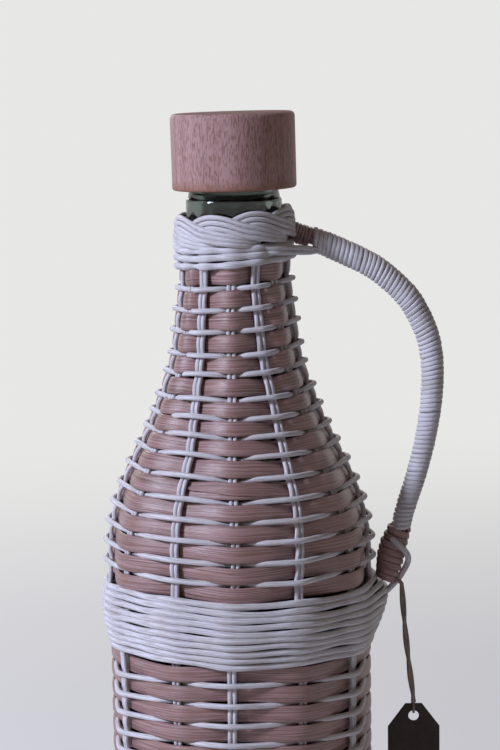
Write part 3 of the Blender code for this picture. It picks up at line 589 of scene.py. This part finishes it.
# The cap is turned about a line from front to back, in the middle of the cork's socket.
points, along = turned(cap_outline)
turn = math.radians(cap_tilt_degrees)
middle = np.array((0.0, 0.0, roof + 0.5 * socket_depth))
tilt = np.array([
    (math.cos(turn), 0.0, math.sin(turn)), (0.0, 1.0, 0.0), (-math.sin(turn), 0.0, math.cos(turn)),
])
grid = ((points - middle) @ tilt.T + middle, along)
piece("cap", [grid], beech, ["cap_wood"], "stopper")

cork_outline = np.vstack([
    [(0.0002, cork_foot)], quarter((cork_narrow - 0.0008, cork_foot + 0.0008), 0.0008, -90, 0),
    [(cork_radius, roof), (cork_radius, cork_top), (0.0002, cork_top)],
])
pressed_cork, shader, place = new_finish("pressed_cork", "cork", specular_ior_level=0.2)
specks = place.grain((900.0, 900.0, 500.0), detail=4.0, roughness=0.7)
cells = place.node("TexVoronoi", {"feature": "DISTANCE_TO_EDGE"}, {"Vector": place, "Scale": 620.0})
dark_mask = specks.between(0.56, 0.66) * 0.8 + (1.0 - cells.between(0.0, 0.1)) * 0.25
colour = dark_mask.mixed(cork_light, cork_dark)
wire_up(shader, colour, specks * 0.1 + 0.8, specks + cells * 0.5, 0.0003)
piece("cork", [turned(cork_outline, 96)], pressed_cork, ["stopper_cork"], "stopper")


# Stakes: pairs of thin round white reed that stand round the glass, twelve from the base up into
# the band and fourteen from the band up into the collar. The rows are woven round them.
upper_degrees = (-179, -154.75, -130.5, -106.25, -82, -57, -31, -3, 24.5, 53, 84, 108.25, 132.5, 156.75)
lower_degrees = (-180.5, -152.3, -124.2, -96, -69, -30, -4, 27.5, 62, 95, 123.2, 151.3)
lean_heights = (0.15, 0.165, 0.177, 0.19, 0.203, 0.212, 0.222, 0.243)
upper_lean = np.zeros((14, 8))
upper_lean[4:11] = (
    (-1.5, -5.0, -6.5, -7.0, -7.0, -7.0, -6.5, -6.0), (-0.5, 1.2, 1.5, -1.2, -2.3, -1.5, 1.0, 3.8),
    (2.5, 2.2, 2.0, 1.8, -1.0, -3.0, -3.4, -5.2), (1.2, 1.5, 1.2, 0.4, 0.0, -1.2, -0.7, -1.0),
    (1.5, 2.6, 4.1, 4.4, 4.0, 2.4, 0.6, -1.6), (4.0, 2.5, -0.5, 0.5, 1.3, 0.0, -4.5, -6.7),
    (0.0, 1.0, 3.0, 3.0, 4.0, 4.0, 5.0, 5.0),
)
lower_lean = np.zeros((12, 8))
lower_lean[4], lower_lean[5], lower_lean[8] = 3.5, 1.0, -2.2
stake_radius, stake_spacing, stake_give = 0.00074, 0.00154, 0.00025
stake_rings, stake_sway, stake_swell = 220, 0.0002, 0.05
upper_white_heights = np.array([
    0.1519, 0.1583, 0.1647, 0.1709, 0.1771, 0.1838, 0.1902, 0.1962, 0.2019, 0.2078, 0.2157, 0.222,
    0.2296, 0.2364, 0.2434,
])
first_upper_row, last_upper_row = 0.1486, 0.2476
first_lower_row, last_lower_row = 0.01, 0.1223
lower_rows = 18
step_stakes = 3
upper_shifts = (
    ((-180, -82, -55, -31, -15, -3, 180), (0, 0, 0.0003, 0.0009, 0.0005, 0, 0), (0.205, 0.235), (1, 0)),
    ((-180, -90, -40, 40, 90, 180), (0, -0.0014, -0.0007, 0.0007, 0.0014, 0), (0.199, 0.213), (0, 1)),
)
lower_shifts = (
    ((-180, -120, -96, -62, -42, -30, -3, 15, 30, 62, 95, 130, 180),
     (0, -0.002, -0.003, -0.0027, -0.0016, -0.0004, 0, -0.0003, -0.0011, -0.0027, -0.003, -0.0016, 0),
     (0.03, 0.1), (0, 1)),
)
white_light = (0.76, 0.74, 0.79, 1.0)
white_dark = (0.44, 0.4, 0.405, 1.0)
white_stain = (0.52, 0.45, 0.41, 1.0)

white_reed, shader, place = new_finish("white_reed", "white_reed", specular_ior_level=0.3)
strand = place.node("UVMap", {"uv_map": "strand"}, {})
threads = strand.grain((110.0, 16.0, 1.0), detail=4.0, roughness=0.6)
ribs = strand.grain((22.0, 30.0, 1.0), detail=2.0)
stains = place.grain((120.0,) * 3, detail=3.0)
colour = threads.between(0.3, 0.62).mixed(white_dark, white_light)
colour = (stains.between(0.5, 0.78) * 0.45).mixed(colour, white_stain)
wire_up(shader, colour, threads * 0.25 + 0.4, ribs * 0.7 + threads * 0.3, 0.00016, 0.9)

# The stakes of each level, and the lengths up the wall of each level's rows
whites = length_up(upper_white_heights)
first, last = length_up(first_upper_row), length_up(last_upper_row)
browns = np.linspace(length_up(first_lower_row), length_up(last_lower_row), lower_rows)
levels = {
    "lower": (lower_degrees, lower_lean, lower_shifts),
    "upper": (upper_degrees, upper_lean, upper_shifts),
}
row_lengths = {
    ("upper", "white"): whites,
    ("upper", "brown"): np.concatenate([[first], 0.5 * (whites[1:] + whites[:-1]), [last]]),
    ("lower", "brown"): browns,
    ("lower", "white"): 0.5 * (browns[1:] + browns[:-1]),
}


def row_shift(angle, lengths, shifts):
    """How far above its own length a row runs at an angle: the sum, over the tables, of the table's
    size at that angle times its share at that length."""
    turned_by = np.mod(np.degrees(angle) + 180.0, 360.0) - 180.0
    return sum(
        np.interp(turned_by, where, sizes) * np.interp(lengths, lengths_up, shares)
        for where, sizes, lengths_up, shares in shifts
    )


def climbed(place):
    """Share of the step up to its own row that a strand has made at a stake: one cosine over the
    first stakes of each round."""
    return 0.5 * (1.0 - np.cos(math.pi * np.minimum(1.0, (place + 1.0) / (step_stakes + 1.0))))


def stake_pair(place, angle, lean, low, high, rows, shifts):
    """Two rods side by side up the wall. Each rod's middle is at the stake's angle, with its lean at
    that height, plus or minus half the spacing along the circle. Both give way, as a cosine that is
    outwards at a row which passes behind them and inwards at the next, which passes in front."""
    lengths = np.linspace(length_up(low), length_up(high), stake_rings)
    radius, height, out = on_wall(lengths)
    at_row = np.interp(lengths - row_shift(angle, lengths, shifts), rows, np.arange(len(rows)))
    swing = stake_give * np.cos(math.pi * (at_row - 2.0 * climbed(place) + place % 2))
    angle = angle + np.radians(np.interp(height, lean_heights, lean))
    sway = angle + stake_sway * np.sin(lengths * 130.0 + angle * 11.0) / radius
    grids = []
    for side in (-0.5, 0.5):
        turn = sway + side * stake_spacing / radius
        line = around(turn, radius + swing * out[:, 0], height + swing * out[:, 1])
        swell = stake_swell * np.sin(lengths * 310.0 + side * 3.0 + angle * 5.0)
        thick = stake_radius * (1.0 + swell)
        grids.append(rod(line, around(turn, out[:, 0], out[:, 1]), thick))
    return grids


for level, (degrees, leans, shifts) in levels.items():
    names = [f"{level}_stake_{number:02d}" for number in range(1, len(degrees) + 1)]
    rows = np.sort(np.concatenate([row_lengths[level, "brown"], row_lengths[level, "white"]]))
    grids = []
    for number, angle in enumerate(np.radians(degrees)):
        low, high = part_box(names[number])
        grids += stake_pair(number, angle, leans[number], low.z, high.z, rows, shifts)
    piece(f"{level}_stakes", grids, white_reed, names)


# Brown rows: flat reed, flat inside and crowned outside, woven in and out of the stakes in one
# unbroken strand below the band and one above it. Each row steps up to the next at the back.
brown_half_width, brown_crown, brown_flat = 0.00264, 0.0007, 0.0004
brown_widest, brown_late, brown_stiffness = 1.13, 2.7, 0.4
brown_least_gap, brown_stand, brown_dip = 0.00098, 0.0005, 0.0009
end_share = 0.15
strand_rings, strand_wobble, strand_swell = 12, 0.00009, 0.025
brown_light = (0.42, 0.262, 0.262, 1.0)
brown_middle = (0.215, 0.108, 0.094, 1.0)
brown_dark = (0.085, 0.04, 0.034, 1.0)
brown_patch = (0.28, 0.14, 0.102, 1.0)

brown_reed, shader, place = new_finish("brown_flat_reed", "brown_reed", specular_ior_level=0.55)
strand = place.node("UVMap", {"uv_map": "strand"}, {})
fibres = strand.grain((34.0, 44.0, 1.0), detail=4.0, roughness=0.65)
ribs = strand.grain((9.0, 24.0, 1.0), detail=2.0)
patches = place.grain((70.0, 70.0, 130.0), detail=3.0)
colour = fibres.between(0.4, 0.61).mixed(brown_middle, brown_light)
colour = ((1.0 - ribs).between(0.52, 0.72) * 0.7).mixed(colour, brown_dark)
colour = (patches.between(0.45, 0.75) * 0.35).mixed(colour, brown_patch)
wire_up(shader, colour, fibres * 0.35 + 0.22, ribs * 0.6 + fibres * 0.4, 0.00042, 0.9)


def crowned_section(sides, half_width, crown, flat, sharpness=0.62):
    """Section of a flat reed: a rounded oblong, its height the sine and its depth the cosine of even
    turns, each to a power under 1, and deeper on its crowned side than on its flat side."""
    turns = math.tau * np.arange(sides) / sides
    upward = half_width * np.sign(np.sin(turns)) * np.abs(np.sin(turns)) ** 0.8
    depth = np.where(np.cos(turns) > 0.0, crown, flat)
    return depth * np.sign(np.cos(turns)) * np.abs(np.cos(turns)) ** sharpness, upward


def weave(level, kind, look, outside, over, under, late, stiffness, section, widths, seed):
    """A strand woven round a level's stakes. At each stake it is on the wall at its row's length,
    over or under by its offset. Between stakes it dips by a power of the share of the way, so it
    stays outside for longer, and a raised-cosine average rounds the bends. What the average takes
    off at a stake is added there again before it, three times, so the strand stays clear. Its
    section faces out of the wall, is as wide as its row's width says, and tapers over the first and
    last stakes. Returns its middle line, its facing and the row it is in, at each of its points."""
    degrees, leans, shifts = levels[level]
    rows = row_lengths[level, kind]
    stakes = np.arange(len(degrees) * len(rows) + step_stakes + 1)
    row, place = np.divmod(stakes, len(degrees))
    angle = np.radians(np.array(degrees)[place] + 360.0 * row)
    at_row = np.clip(row - 1.0 + climbed(place), 0.0, len(rows) - 1.0)
    length = np.interp(at_row, np.arange(len(rows)), rows)
    length = length + np.random.default_rng(seed).normal(0.0, strand_wobble, len(length))
    radius, height, out = on_wall(length + row_shift(angle, length, shifts))
    lean = [np.interp(high, lean_heights, leans[number]) for high, number in zip(height, place)]
    angle = angle + np.radians(lean)
    offset = np.where((place % 2 == 0) == outside, over, -under)
    goal = around(angle, radius + offset * out[:, 0], height + offset * out[:, 1])
    fine = np.linspace(0.0, stakes[-1], stakes[-1] * strand_rings + 1)
    facing = sampled(fine, stakes, around(angle, out[:, 0], out[:, 1]))
    dip = np.interp(fine, stakes, offset < 0.0)
    held = ((dip - dip**late) * (over + under))[:, None] * unit(facing)
    pad = int(stiffness * strand_rings) + 1

    def rounded(straight):
        longer = np.vstack([
            2 * straight[0] - straight[pad:0:-1], straight, 2 * straight[-1] - straight[-2:-pad - 2:-1],
        ])
        return averaged(longer, 2 * pad + 1)

    aim = goal.copy()
    for _ in range(3):
        aim += goal - rounded(sampled(fine, stakes, aim) + held)[::strand_rings]
    line = rounded(sampled(fine, stakes, aim) + held)
    facing = unit(rounded(facing))
    at_row = np.interp(fine, stakes, at_row)
    swell = np.random.default_rng(seed + 1).normal(1.0, strand_swell, len(stakes))
    ends = [0, step_stakes, stakes[-1] - step_stakes, stakes[-1]]
    swell = np.interp(fine, stakes, swell) * np.interp(fine, ends, [end_share, 1.0, 1.0, end_share])
    width = swell * np.interp(at_row, np.arange(len(widths)), widths)
    across, upward = np.outer(swell, section[0]), np.outer(width, section[1])
    grid = carried(line, *directions(line, facing), across, upward)
    piece(f"{level}_{kind}_rows", [grid], look, [f"{level}_{kind}_reed"])
    return line, facing, at_row


brown_section = crowned_section(16, brown_half_width, brown_crown, brown_flat)
brown_over = stake_radius + brown_flat + brown_stand - stake_give
brown_under = stake_radius + brown_crown + brown_dip - stake_give
strands = {}
for level, seed in (("upper", 11), ("lower", 12)):
    rows = row_lengths[level, "brown"]
    room_up = np.minimum(np.diff(rows, append=1.0), np.diff(rows, prepend=-1.0))
    widths = np.minimum(brown_widest, 0.5 * (room_up - brown_least_gap) / brown_half_width)
    strands[level] = weave(
        level, "brown", brown_reed, False, brown_over, brown_under, brown_late, brown_stiffness,
        brown_section, widths, seed,
    )

# Splice: the end of a new length of brown reed, laid over the old one and cut to a tapered tongue.
splice_row, splice_start, splice_end = 5, -29.5, 28.0
splice_lift, splice_depth = 0.00115, 0.00034
line, facing, at_row = strands["upper"]
angle = np.degrees(np.arctan2(line[:, 0], -line[:, 1]))
chosen = (np.abs(at_row - splice_row) < 0.02) & (angle > splice_start) & (angle < splice_end)
line = line[chosen]
share = np.linspace(0.0, 1.0, len(line))
outs, ups = directions(line, facing[chosen])
wide = np.interp(share, [0.0, 0.12, 0.55, 0.8, 1.0], [0.1, 0.36, 0.72, 0.9, 0.85])
raised = splice_lift * np.interp(share, [0.0, 0.1, 0.6, 1.0], [0.7, 1.0, 0.7, 0.1])
low = 0.15 * brown_half_width * (1.0 - share)
line = line + raised[:, None] * outs - low[:, None] * ups
across, upward = crowned_section(16, brown_half_width, splice_depth, splice_depth)
grid = carried(line, outs, ups, across, np.outer(wide, upward))
piece("brown_splice", [grid], brown_reed)


# White rows: thin round reed between the brown rows, woven the other way, so that it lies over the
# stakes that the brown passes behind. One strand below the band and one above it.
white_radius, white_stand = 0.00088, 0.00045
white_late, white_stiffness = 4.0, 0.24
white_over = stake_radius + white_radius + white_stand - stake_give
white_under = stake_radius + white_radius - stake_give
for level, seed in (("upper", 13), ("lower", 14)):
    weave(level, "white", white_reed, True, white_over, white_under, white_late, white_stiffness,
          round_section(12, white_radius), (1.0,), seed)


# Band: ten rows of white round reed packed round the bottle at its widest place. They lie over the
# ends of both sets of stakes, close over the stakes and a little open between them.
band_rows, band_reed_radius = 10, 0.00105
band_rings = 480
band_stand, band_belly, band_sag = 0.0014, 0.0007, 0.0006
band_shift_degrees = (-180, -100, -85, -72, -60, -45, -32, -15, -3, 24, 45, 62, 90, 120, 180)
band_shifts = (
    (0, -15, -15, -4, 3, 8, 12, 5, 0, 0, -7, -24, -26, -10, 0),
    (0, -15, -23, -3, 8, 12, 17, 8, 0, 0, -5, -11, -18, -10, 0),
)
band_shift_unit = 0.0001
bulge_middle, bulge_spread = 97.0, 24.0
bulge_heights = (0.124, 0.1285, 0.1335, 0.1375, 0.141, 0.144, 0.1452)
bulge_reaches = (0.0, 0.0009, 0.002, 0.003, 0.0032, 0.0012, 0.0)


def ring_line(angle, height, stand, corners, sag):
    """A row laid round the wall, and its facing: at each angle it is on the wall + its stand, less a
    sag between its corners of a squared sine, which is given too. The last point is the first."""
    between = np.sin(math.pi * np.interp(angle, corners, np.arange(len(corners)))) ** 2
    line = around(angle, wall_radius(height) + stand - sag * between, height)
    line[-1] = line[0]
    return line, around(angle, 1.0, 0.0), between


chance = np.random.default_rng(21)
corners = np.radians((-180,) + lower_degrees[1:] + (180,))
angle = np.linspace(-math.pi, math.pi, band_rings + 1)
rough = band_shift_unit * sampled(np.degrees(angle), band_shift_degrees, np.transpose(band_shifts))
edge_shifts = averaged(np.concatenate([rough[-12:-1], rough, rough[1:12]]), 23)
bulge_shape = np.exp(-((np.degrees(angle) - bulge_middle) / bulge_spread) ** 2)
grids = []
for row in range(band_rows):
    share = row / (band_rows - 1.0)
    height = band_bottom + (row + 0.5) * (band_top - band_bottom) / band_rows
    wave = (1.0 - share) * edge_shifts[:, 0] + share * edge_shifts[:, 1] + sum(
        size * np.sin(count * angle + chance.uniform(0.0, math.tau))
        for count, size in ((3, 0.00012), (5, 0.00014), (8, 0.00012), (13, 0.00008))
    )
    stand = band_stand + band_belly * math.sin(math.pi * (row + 0.5) / band_rows)
    stand = stand + np.interp(height, bulge_heights, bulge_reaches) * bulge_shape
    line, facing, between = ring_line(angle, height + wave, stand, corners, band_sag)
    grids.append(rod(line, facing, band_reed_radius * (1.13 - 0.18 * between), wide=0.95))
piece("band_rows", grids, white_reed, ["band_reed"])


# Collar: three plain rows of thicker white reed tie the stakes' tops. Above them eight sets of three
# reeds turn down to the right, each over the next ones, which makes the plaited edge.
collar_rows = ((0.25125, 0.0015), (0.2537, 0.0012), (0.25595, 0.0009))
collar_reed_radius = 0.00116
knob_middle, knob_spread, knob_sag = -46.0, 26.0, 0.0009
collar_stand, collar_sag, collar_wave = 0.00185, 0.00035, 0.00012
collar_rings = 300
corners = np.radians((-180,) + upper_degrees[1:] + (180,))
angle = np.linspace(-math.pi, math.pi, collar_rings + 1)
knob_shape = np.exp(-((np.degrees(angle) - knob_middle) / knob_spread) ** 2)
grids = []
for height, tilt in collar_rows:
    high = height + tilt * np.sin(angle) + collar_wave * np.sin(5.0 * angle + height * 9000.0)
    knobs = knob_shape * (height == collar_rows[0][0])
    line, facing, between = ring_line(angle, high, collar_stand, corners, collar_sag + knob_sag * knobs)
    thick = collar_reed_radius * (1.08 + 0.1 * knobs - (0.16 + 0.32 * knobs) * between)
    grids.append(rod(line, facing, thick, 14))
piece("collar_plain_rows", grids, white_reed, ["collar_rows"])

plait_starts = (-53.7, -10.0, 33.5, 80.5, 126.3, 172.1, 217.9, 261.0)
plait_route = np.array([
    (-26.0, 0.017, 0.258), (-16.0, 0.0174, 0.2597), (-6.0, 0.0178, 0.262), (6.0, 0.0182, 0.2647),
    (18.0, 0.0184, 0.2664), (30.0, 0.0186, 0.2669), (44.0, 0.0188, 0.2661), (60.0, 0.0191, 0.2642),
    (78.0, 0.0194, 0.262), (96.0, 0.0195, 0.2603), (110.0, 0.019, 0.2592), (120.0, 0.018, 0.2588),
    (128.0, 0.0168, 0.2586),
])
plait_tilt = 0.0014
plait_radius, plait_spacing = 0.00084, 0.0018
plait_rods, plait_rings = 3, 110
grids = []
for start in plait_starts:
    angle = np.radians(plait_route[:, 0] + start)
    rise = plait_tilt * np.sin(angle)
    line = smooth_line(around(angle, plait_route[:, 1], plait_route[:, 2] + rise), plait_rings)
    outs, ups = directions(line, around(np.arctan2(line[:, 0], -line[:, 1]), 1.0, 0.25))
    ups = ups * np.sign(ups[:, 2:])
    share = np.linspace(0.0, 1.0, plait_rings)
    apart = plait_spacing * np.interp(share, [0.0, 0.2, 0.6, 1.0], [0.65, 1.0, 0.95, 0.45])
    thick = plait_radius * np.interp(share, [0.0, 0.1, 0.85, 1.0], [0.8, 1.0, 1.0, 0.7])
    for number in range(plait_rods):
        shifted = line - number * apart[:, None] * ups - 0.0002 * number * outs
        grids.append(rod(shifted, outs, thick))
piece("collar_plait", grids, white_reed, ["collar_braid"])


# Base: a disc of round reed woven in rings over spokes, and a border of twisted reed round it that
# the lower stakes go into. The bottle stands on the border and the disc.
base_rings, base_pitch, base_start = 15, 0.00238, 0.0033
spoke_count, spoke_start, spoke_reach, spoke_radius = 24, 0.0012, 0.0388, 0.0006
base_height, base_wave, base_reed_radius = 0.00125, 0.0005, 0.00062
grids = []
for ring in range(base_rings):
    radius = base_start + ring * base_pitch
    angle = np.linspace(0.0, math.tau, 8 * max(12, int(radius * 2600.0) // 2 * 2) + 1)
    lift = base_wave * np.sin(0.5 * spoke_count * angle + math.pi * ring)
    line = around(angle, radius, base_height + lift)
    line[-1] = line[0]
    grids.append(rod(line, around(angle, 1.0, 0.0), base_reed_radius, 8, 1.75))
for spoke in range(spoke_count):
    turn = math.tau * (spoke + 0.5) / spoke_count
    line = around(turn, np.linspace(spoke_start, spoke_reach, 40), base_height)
    grids.append(rod(line, (0.0, 0.0, 1.0), spoke_radius, 8))
piece("base_woven_disc", grids, white_reed, ["base_disc"])

border_middle, border_height, border_reach, border_reed_radius = 0.0422, 0.0031, 0.0017, 0.00128
border_strands, border_turns = 4, 26
grids = []
angle = np.linspace(0.0, math.tau, 900)
for number in range(border_strands):
    lead = border_turns * angle + math.tau * number / border_strands
    line = around(
        angle, border_middle + border_reach * np.cos(lead), border_height + border_reach * np.sin(lead)
    )
    line[-1] = line[0]
    grids.append(rod(line, around(angle, np.cos(lead), np.sin(lead)), border_reed_radius, 10))
piece("base_border_rope", grids, white_reed, ["base_border"])


# Handle: a bent rod, wound from end to end with white reed, three strands side by side. Brown reed
# binds it at the collar and at its foot.
handle_route = np.array([
    (0.0183, 0.2604), (0.0205, 0.2596), (0.0251, 0.2579), (0.0296, 0.256), (0.034, 0.254),
    (0.0385, 0.2519), (0.0428, 0.2498), (0.047, 0.2472), (0.0508, 0.2441), (0.0543, 0.2408),
    (0.0575, 0.2371), (0.06, 0.2329), (0.0621, 0.2285), (0.0637, 0.2239), (0.0646, 0.2191),
    (0.065, 0.2142), (0.065, 0.2093), (0.0647, 0.2045), (0.0642, 0.1996), (0.0634, 0.1948),
    (0.0625, 0.19), (0.0614, 0.1852), (0.0602, 0.1805), (0.0588, 0.1758), (0.0573, 0.1712),
    (0.0558, 0.1665), (0.0546, 0.1618), (0.0535, 0.157), (0.0524, 0.1523), (0.0511, 0.1476),
    (0.0494, 0.143),
])
rod_radius = 0.002
wrap_start, wrap_end, wrap_turns = 0.0077, 0.1237, 24.5
wrap_strands = 3
wrap_half_width, wrap_crown, wrap_flat = 0.00083, 0.00082, 0.0009
wrap_lifts = ((0.0, 0.05, 0.35, 0.7, 1.0), (0.0032, 0.0034, 0.0033, 0.0028, 0.0025))
wrap_turn_rings, wrap_pitch = 34, (wrap_end - wrap_start) / wrap_turns

rod_line = smooth_line(np.insert(handle_route, 1, 0.0, axis=1), 700)
rod_lengths = line_lengths(rod_line)
rod_run = unit(np.gradient(rod_line, axis=0))
rod_bend = averaged(np.gradient(rod_run, rod_lengths, axis=0), 63, "same")


def wound(start, end, turns, lead, lifts, crown, flat, half_width, seed):
    """A strip wound on the rod. Its middle is the rod's point + its lift times the cosine of its turn
    outwards and the sine to the front, and the lift is read from a table of shares and lifts. It lies
    flat on the rod and follows the helix, and it is wider round the outside of the rod's bend, by
    1 - the lift times the bend's part outwards."""
    share = np.linspace(0.0, 1.0, int(turns * wrap_turn_rings))
    turn = math.tau * turns * share
    chance = np.random.default_rng(seed)
    wobble = np.interp(share, np.linspace(0, 1, 60), chance.normal(0.0, 0.00009, 60))
    at = start + (end - start) * share + lead + wobble
    middle, run, bend = (sampled(at, rod_lengths, rows) for rows in (rod_line, rod_run, rod_bend))
    sideways = np.cross(unit(run), (0.0, 1.0, 0.0))
    out = np.cos(turn)[:, None] * sideways + np.sin(turn)[:, None] * np.array((0.0, -1.0, 0.0))
    lift = np.interp(share, *lifts)
    line = middle + lift[:, None] * out
    swell = np.interp(share, np.linspace(0, 1, 80), chance.normal(1.0, 0.04, 80))
    stretch = 1.0 - lift * np.sum(bend * out, axis=1)
    across, upward = crowned_section(14, half_width, crown, flat, 0.72)
    return carried(
        line, *directions(line, out), np.outer(swell, across), np.outer(swell * stretch, upward)
    )


grids = [
    wound(wrap_start, wrap_end, wrap_turns, number * wrap_pitch / wrap_strands, wrap_lifts, wrap_crown,
          wrap_flat, wrap_half_width, 31 + number)
    for number in range(wrap_strands)
]
piece("handle_winding", grids, white_reed, ["handle_wrap"])

grid = rod(rod_line[::7], (0.0, 1.0, 0.0), rod_radius, 20)
piece("handle_rod", [grid], brown_reed, ["handle_core"])

root_start, root_end, root_turns, root_lift = 0.0004, 0.0075, 6.2, 0.0029
root_crown, root_flat, root_half_width = 0.0006, 0.0007, 0.00056
grid = wound(root_start, root_end, root_turns, 0.0, ((0.0,), (root_lift,)), root_crown, root_flat,
             root_half_width, 41)
piece("handle_collar_binding", [grid], brown_reed, ["handle_top_binding"])

# Foot binding: turns round the rod and down to the wall, drawn in between an inner and an outer
# reach that change with the height. Each turn is an oval of half the distance between them.
binding_bottom, binding_top, binding_turns = 0.1428, 0.1602, 8.0
binding_heights = (0.1425, 0.15, 0.1545, 0.1602)
binding_reaches = (0.0462, 0.0467, 0.0478, 0.0508)
binding_rings, binding_slant, binding_wall = 30, 0.0009, 0.0009
binding_half_width, binding_crown, binding_flat = 0.00113, 0.00055, 0.0006
side_reach = rod_radius + binding_wall
share = np.linspace(0.0, 1.0, int(binding_turns * binding_rings))
turn = math.tau * binding_turns * share
height = binding_bottom + (binding_top - binding_bottom) * share
inner = np.interp(height, binding_heights, binding_reaches)
outer = np.interp(-height, -rod_line[:, 2], rod_line[:, 0]) + side_reach
half_reach = 0.5 * (outer - inner)
line = np.column_stack([
    0.5 * (outer + inner) + half_reach * np.cos(turn), -side_reach * np.sin(turn),
    height - binding_slant * np.cos(turn),
])
facing = np.column_stack([np.cos(turn) / half_reach, -np.sin(turn) / side_reach, 0.0 * turn])
section = crowned_section(14, binding_half_width, binding_crown, binding_flat)
grid = carried(line, *directions(line, facing), *section)
piece("handle_foot_wrap", [grid], brown_reed, ["handle_foot_binding"])

# Root reeds: two white reeds of the collar that run straight on under the handle's root and are
# bound in with its winding.
root_reed_route = np.array([
    (0.0062, -0.0166, 0.2563), (0.01, -0.016, 0.2562), (0.0142, -0.0147, 0.256),
    (0.0188, -0.0106, 0.2557), (0.0224, -0.0071, 0.2552), (0.0252, -0.0044, 0.2547),
    (0.0276, -0.0024, 0.2544),
])
root_reed_drop = (0.0015, 0.0015, 0.0015, 0.0015, 0.0014, 0.0011, 0.0007)
root_reed_radius, root_reed_ends = 0.00088, ((0.0, 0.15, 0.85, 1.0), (0.7, 1.0, 1.0, 0.7))
thick = root_reed_radius * np.interp(np.linspace(0.0, 1.0, 60), *root_reed_ends)
grids = []
for number in range(2):
    line = smooth_line(root_reed_route - np.outer(root_reed_drop, (0.0, 0.0, number)), 60)
    grids.append(rod(line, (0.5, -0.8, 0.0), thick))
piece("handle_root_reeds", grids, white_reed)

# Lashing: a white reed that comes out of the weave, passes round the handle's foot and goes back
# into the band below it. The tag's twine is tied to it.
lashing_route = np.array([
    (0.0508, -0.0016, 0.1574), (0.0523, -0.0036, 0.1558), (0.054, -0.0042, 0.1542),
    (0.0554, -0.00406, 0.15283), (0.0562, -0.00329, 0.15148), (0.0566, -0.00233, 0.1501),
    (0.0566, -0.00124, 0.14874), (0.0563, -0.0003, 0.14742), (0.05575, 0.0001, 0.14609),
    (0.055, 0.00019, 0.14475), (0.0542, 0.00021, 0.1434), (0.05318, 0.00014, 0.14211),
    (0.05205, 0.00008, 0.14088), (0.0509, 0.00003, 0.13967), (0.04971, 0.0, 0.13849),
    (0.0484, 0.0, 0.1374), (0.047, 0.0, 0.1364), (0.0458, 0.0, 0.1354),
])
lashing_radius = 0.00102
grid = rod(smooth_line(lashing_route, 90), (0.0, 1.0, 0.0), lashing_radius, 14)
piece("handle_tie", [grid], white_reed, ["handle_lashing"])
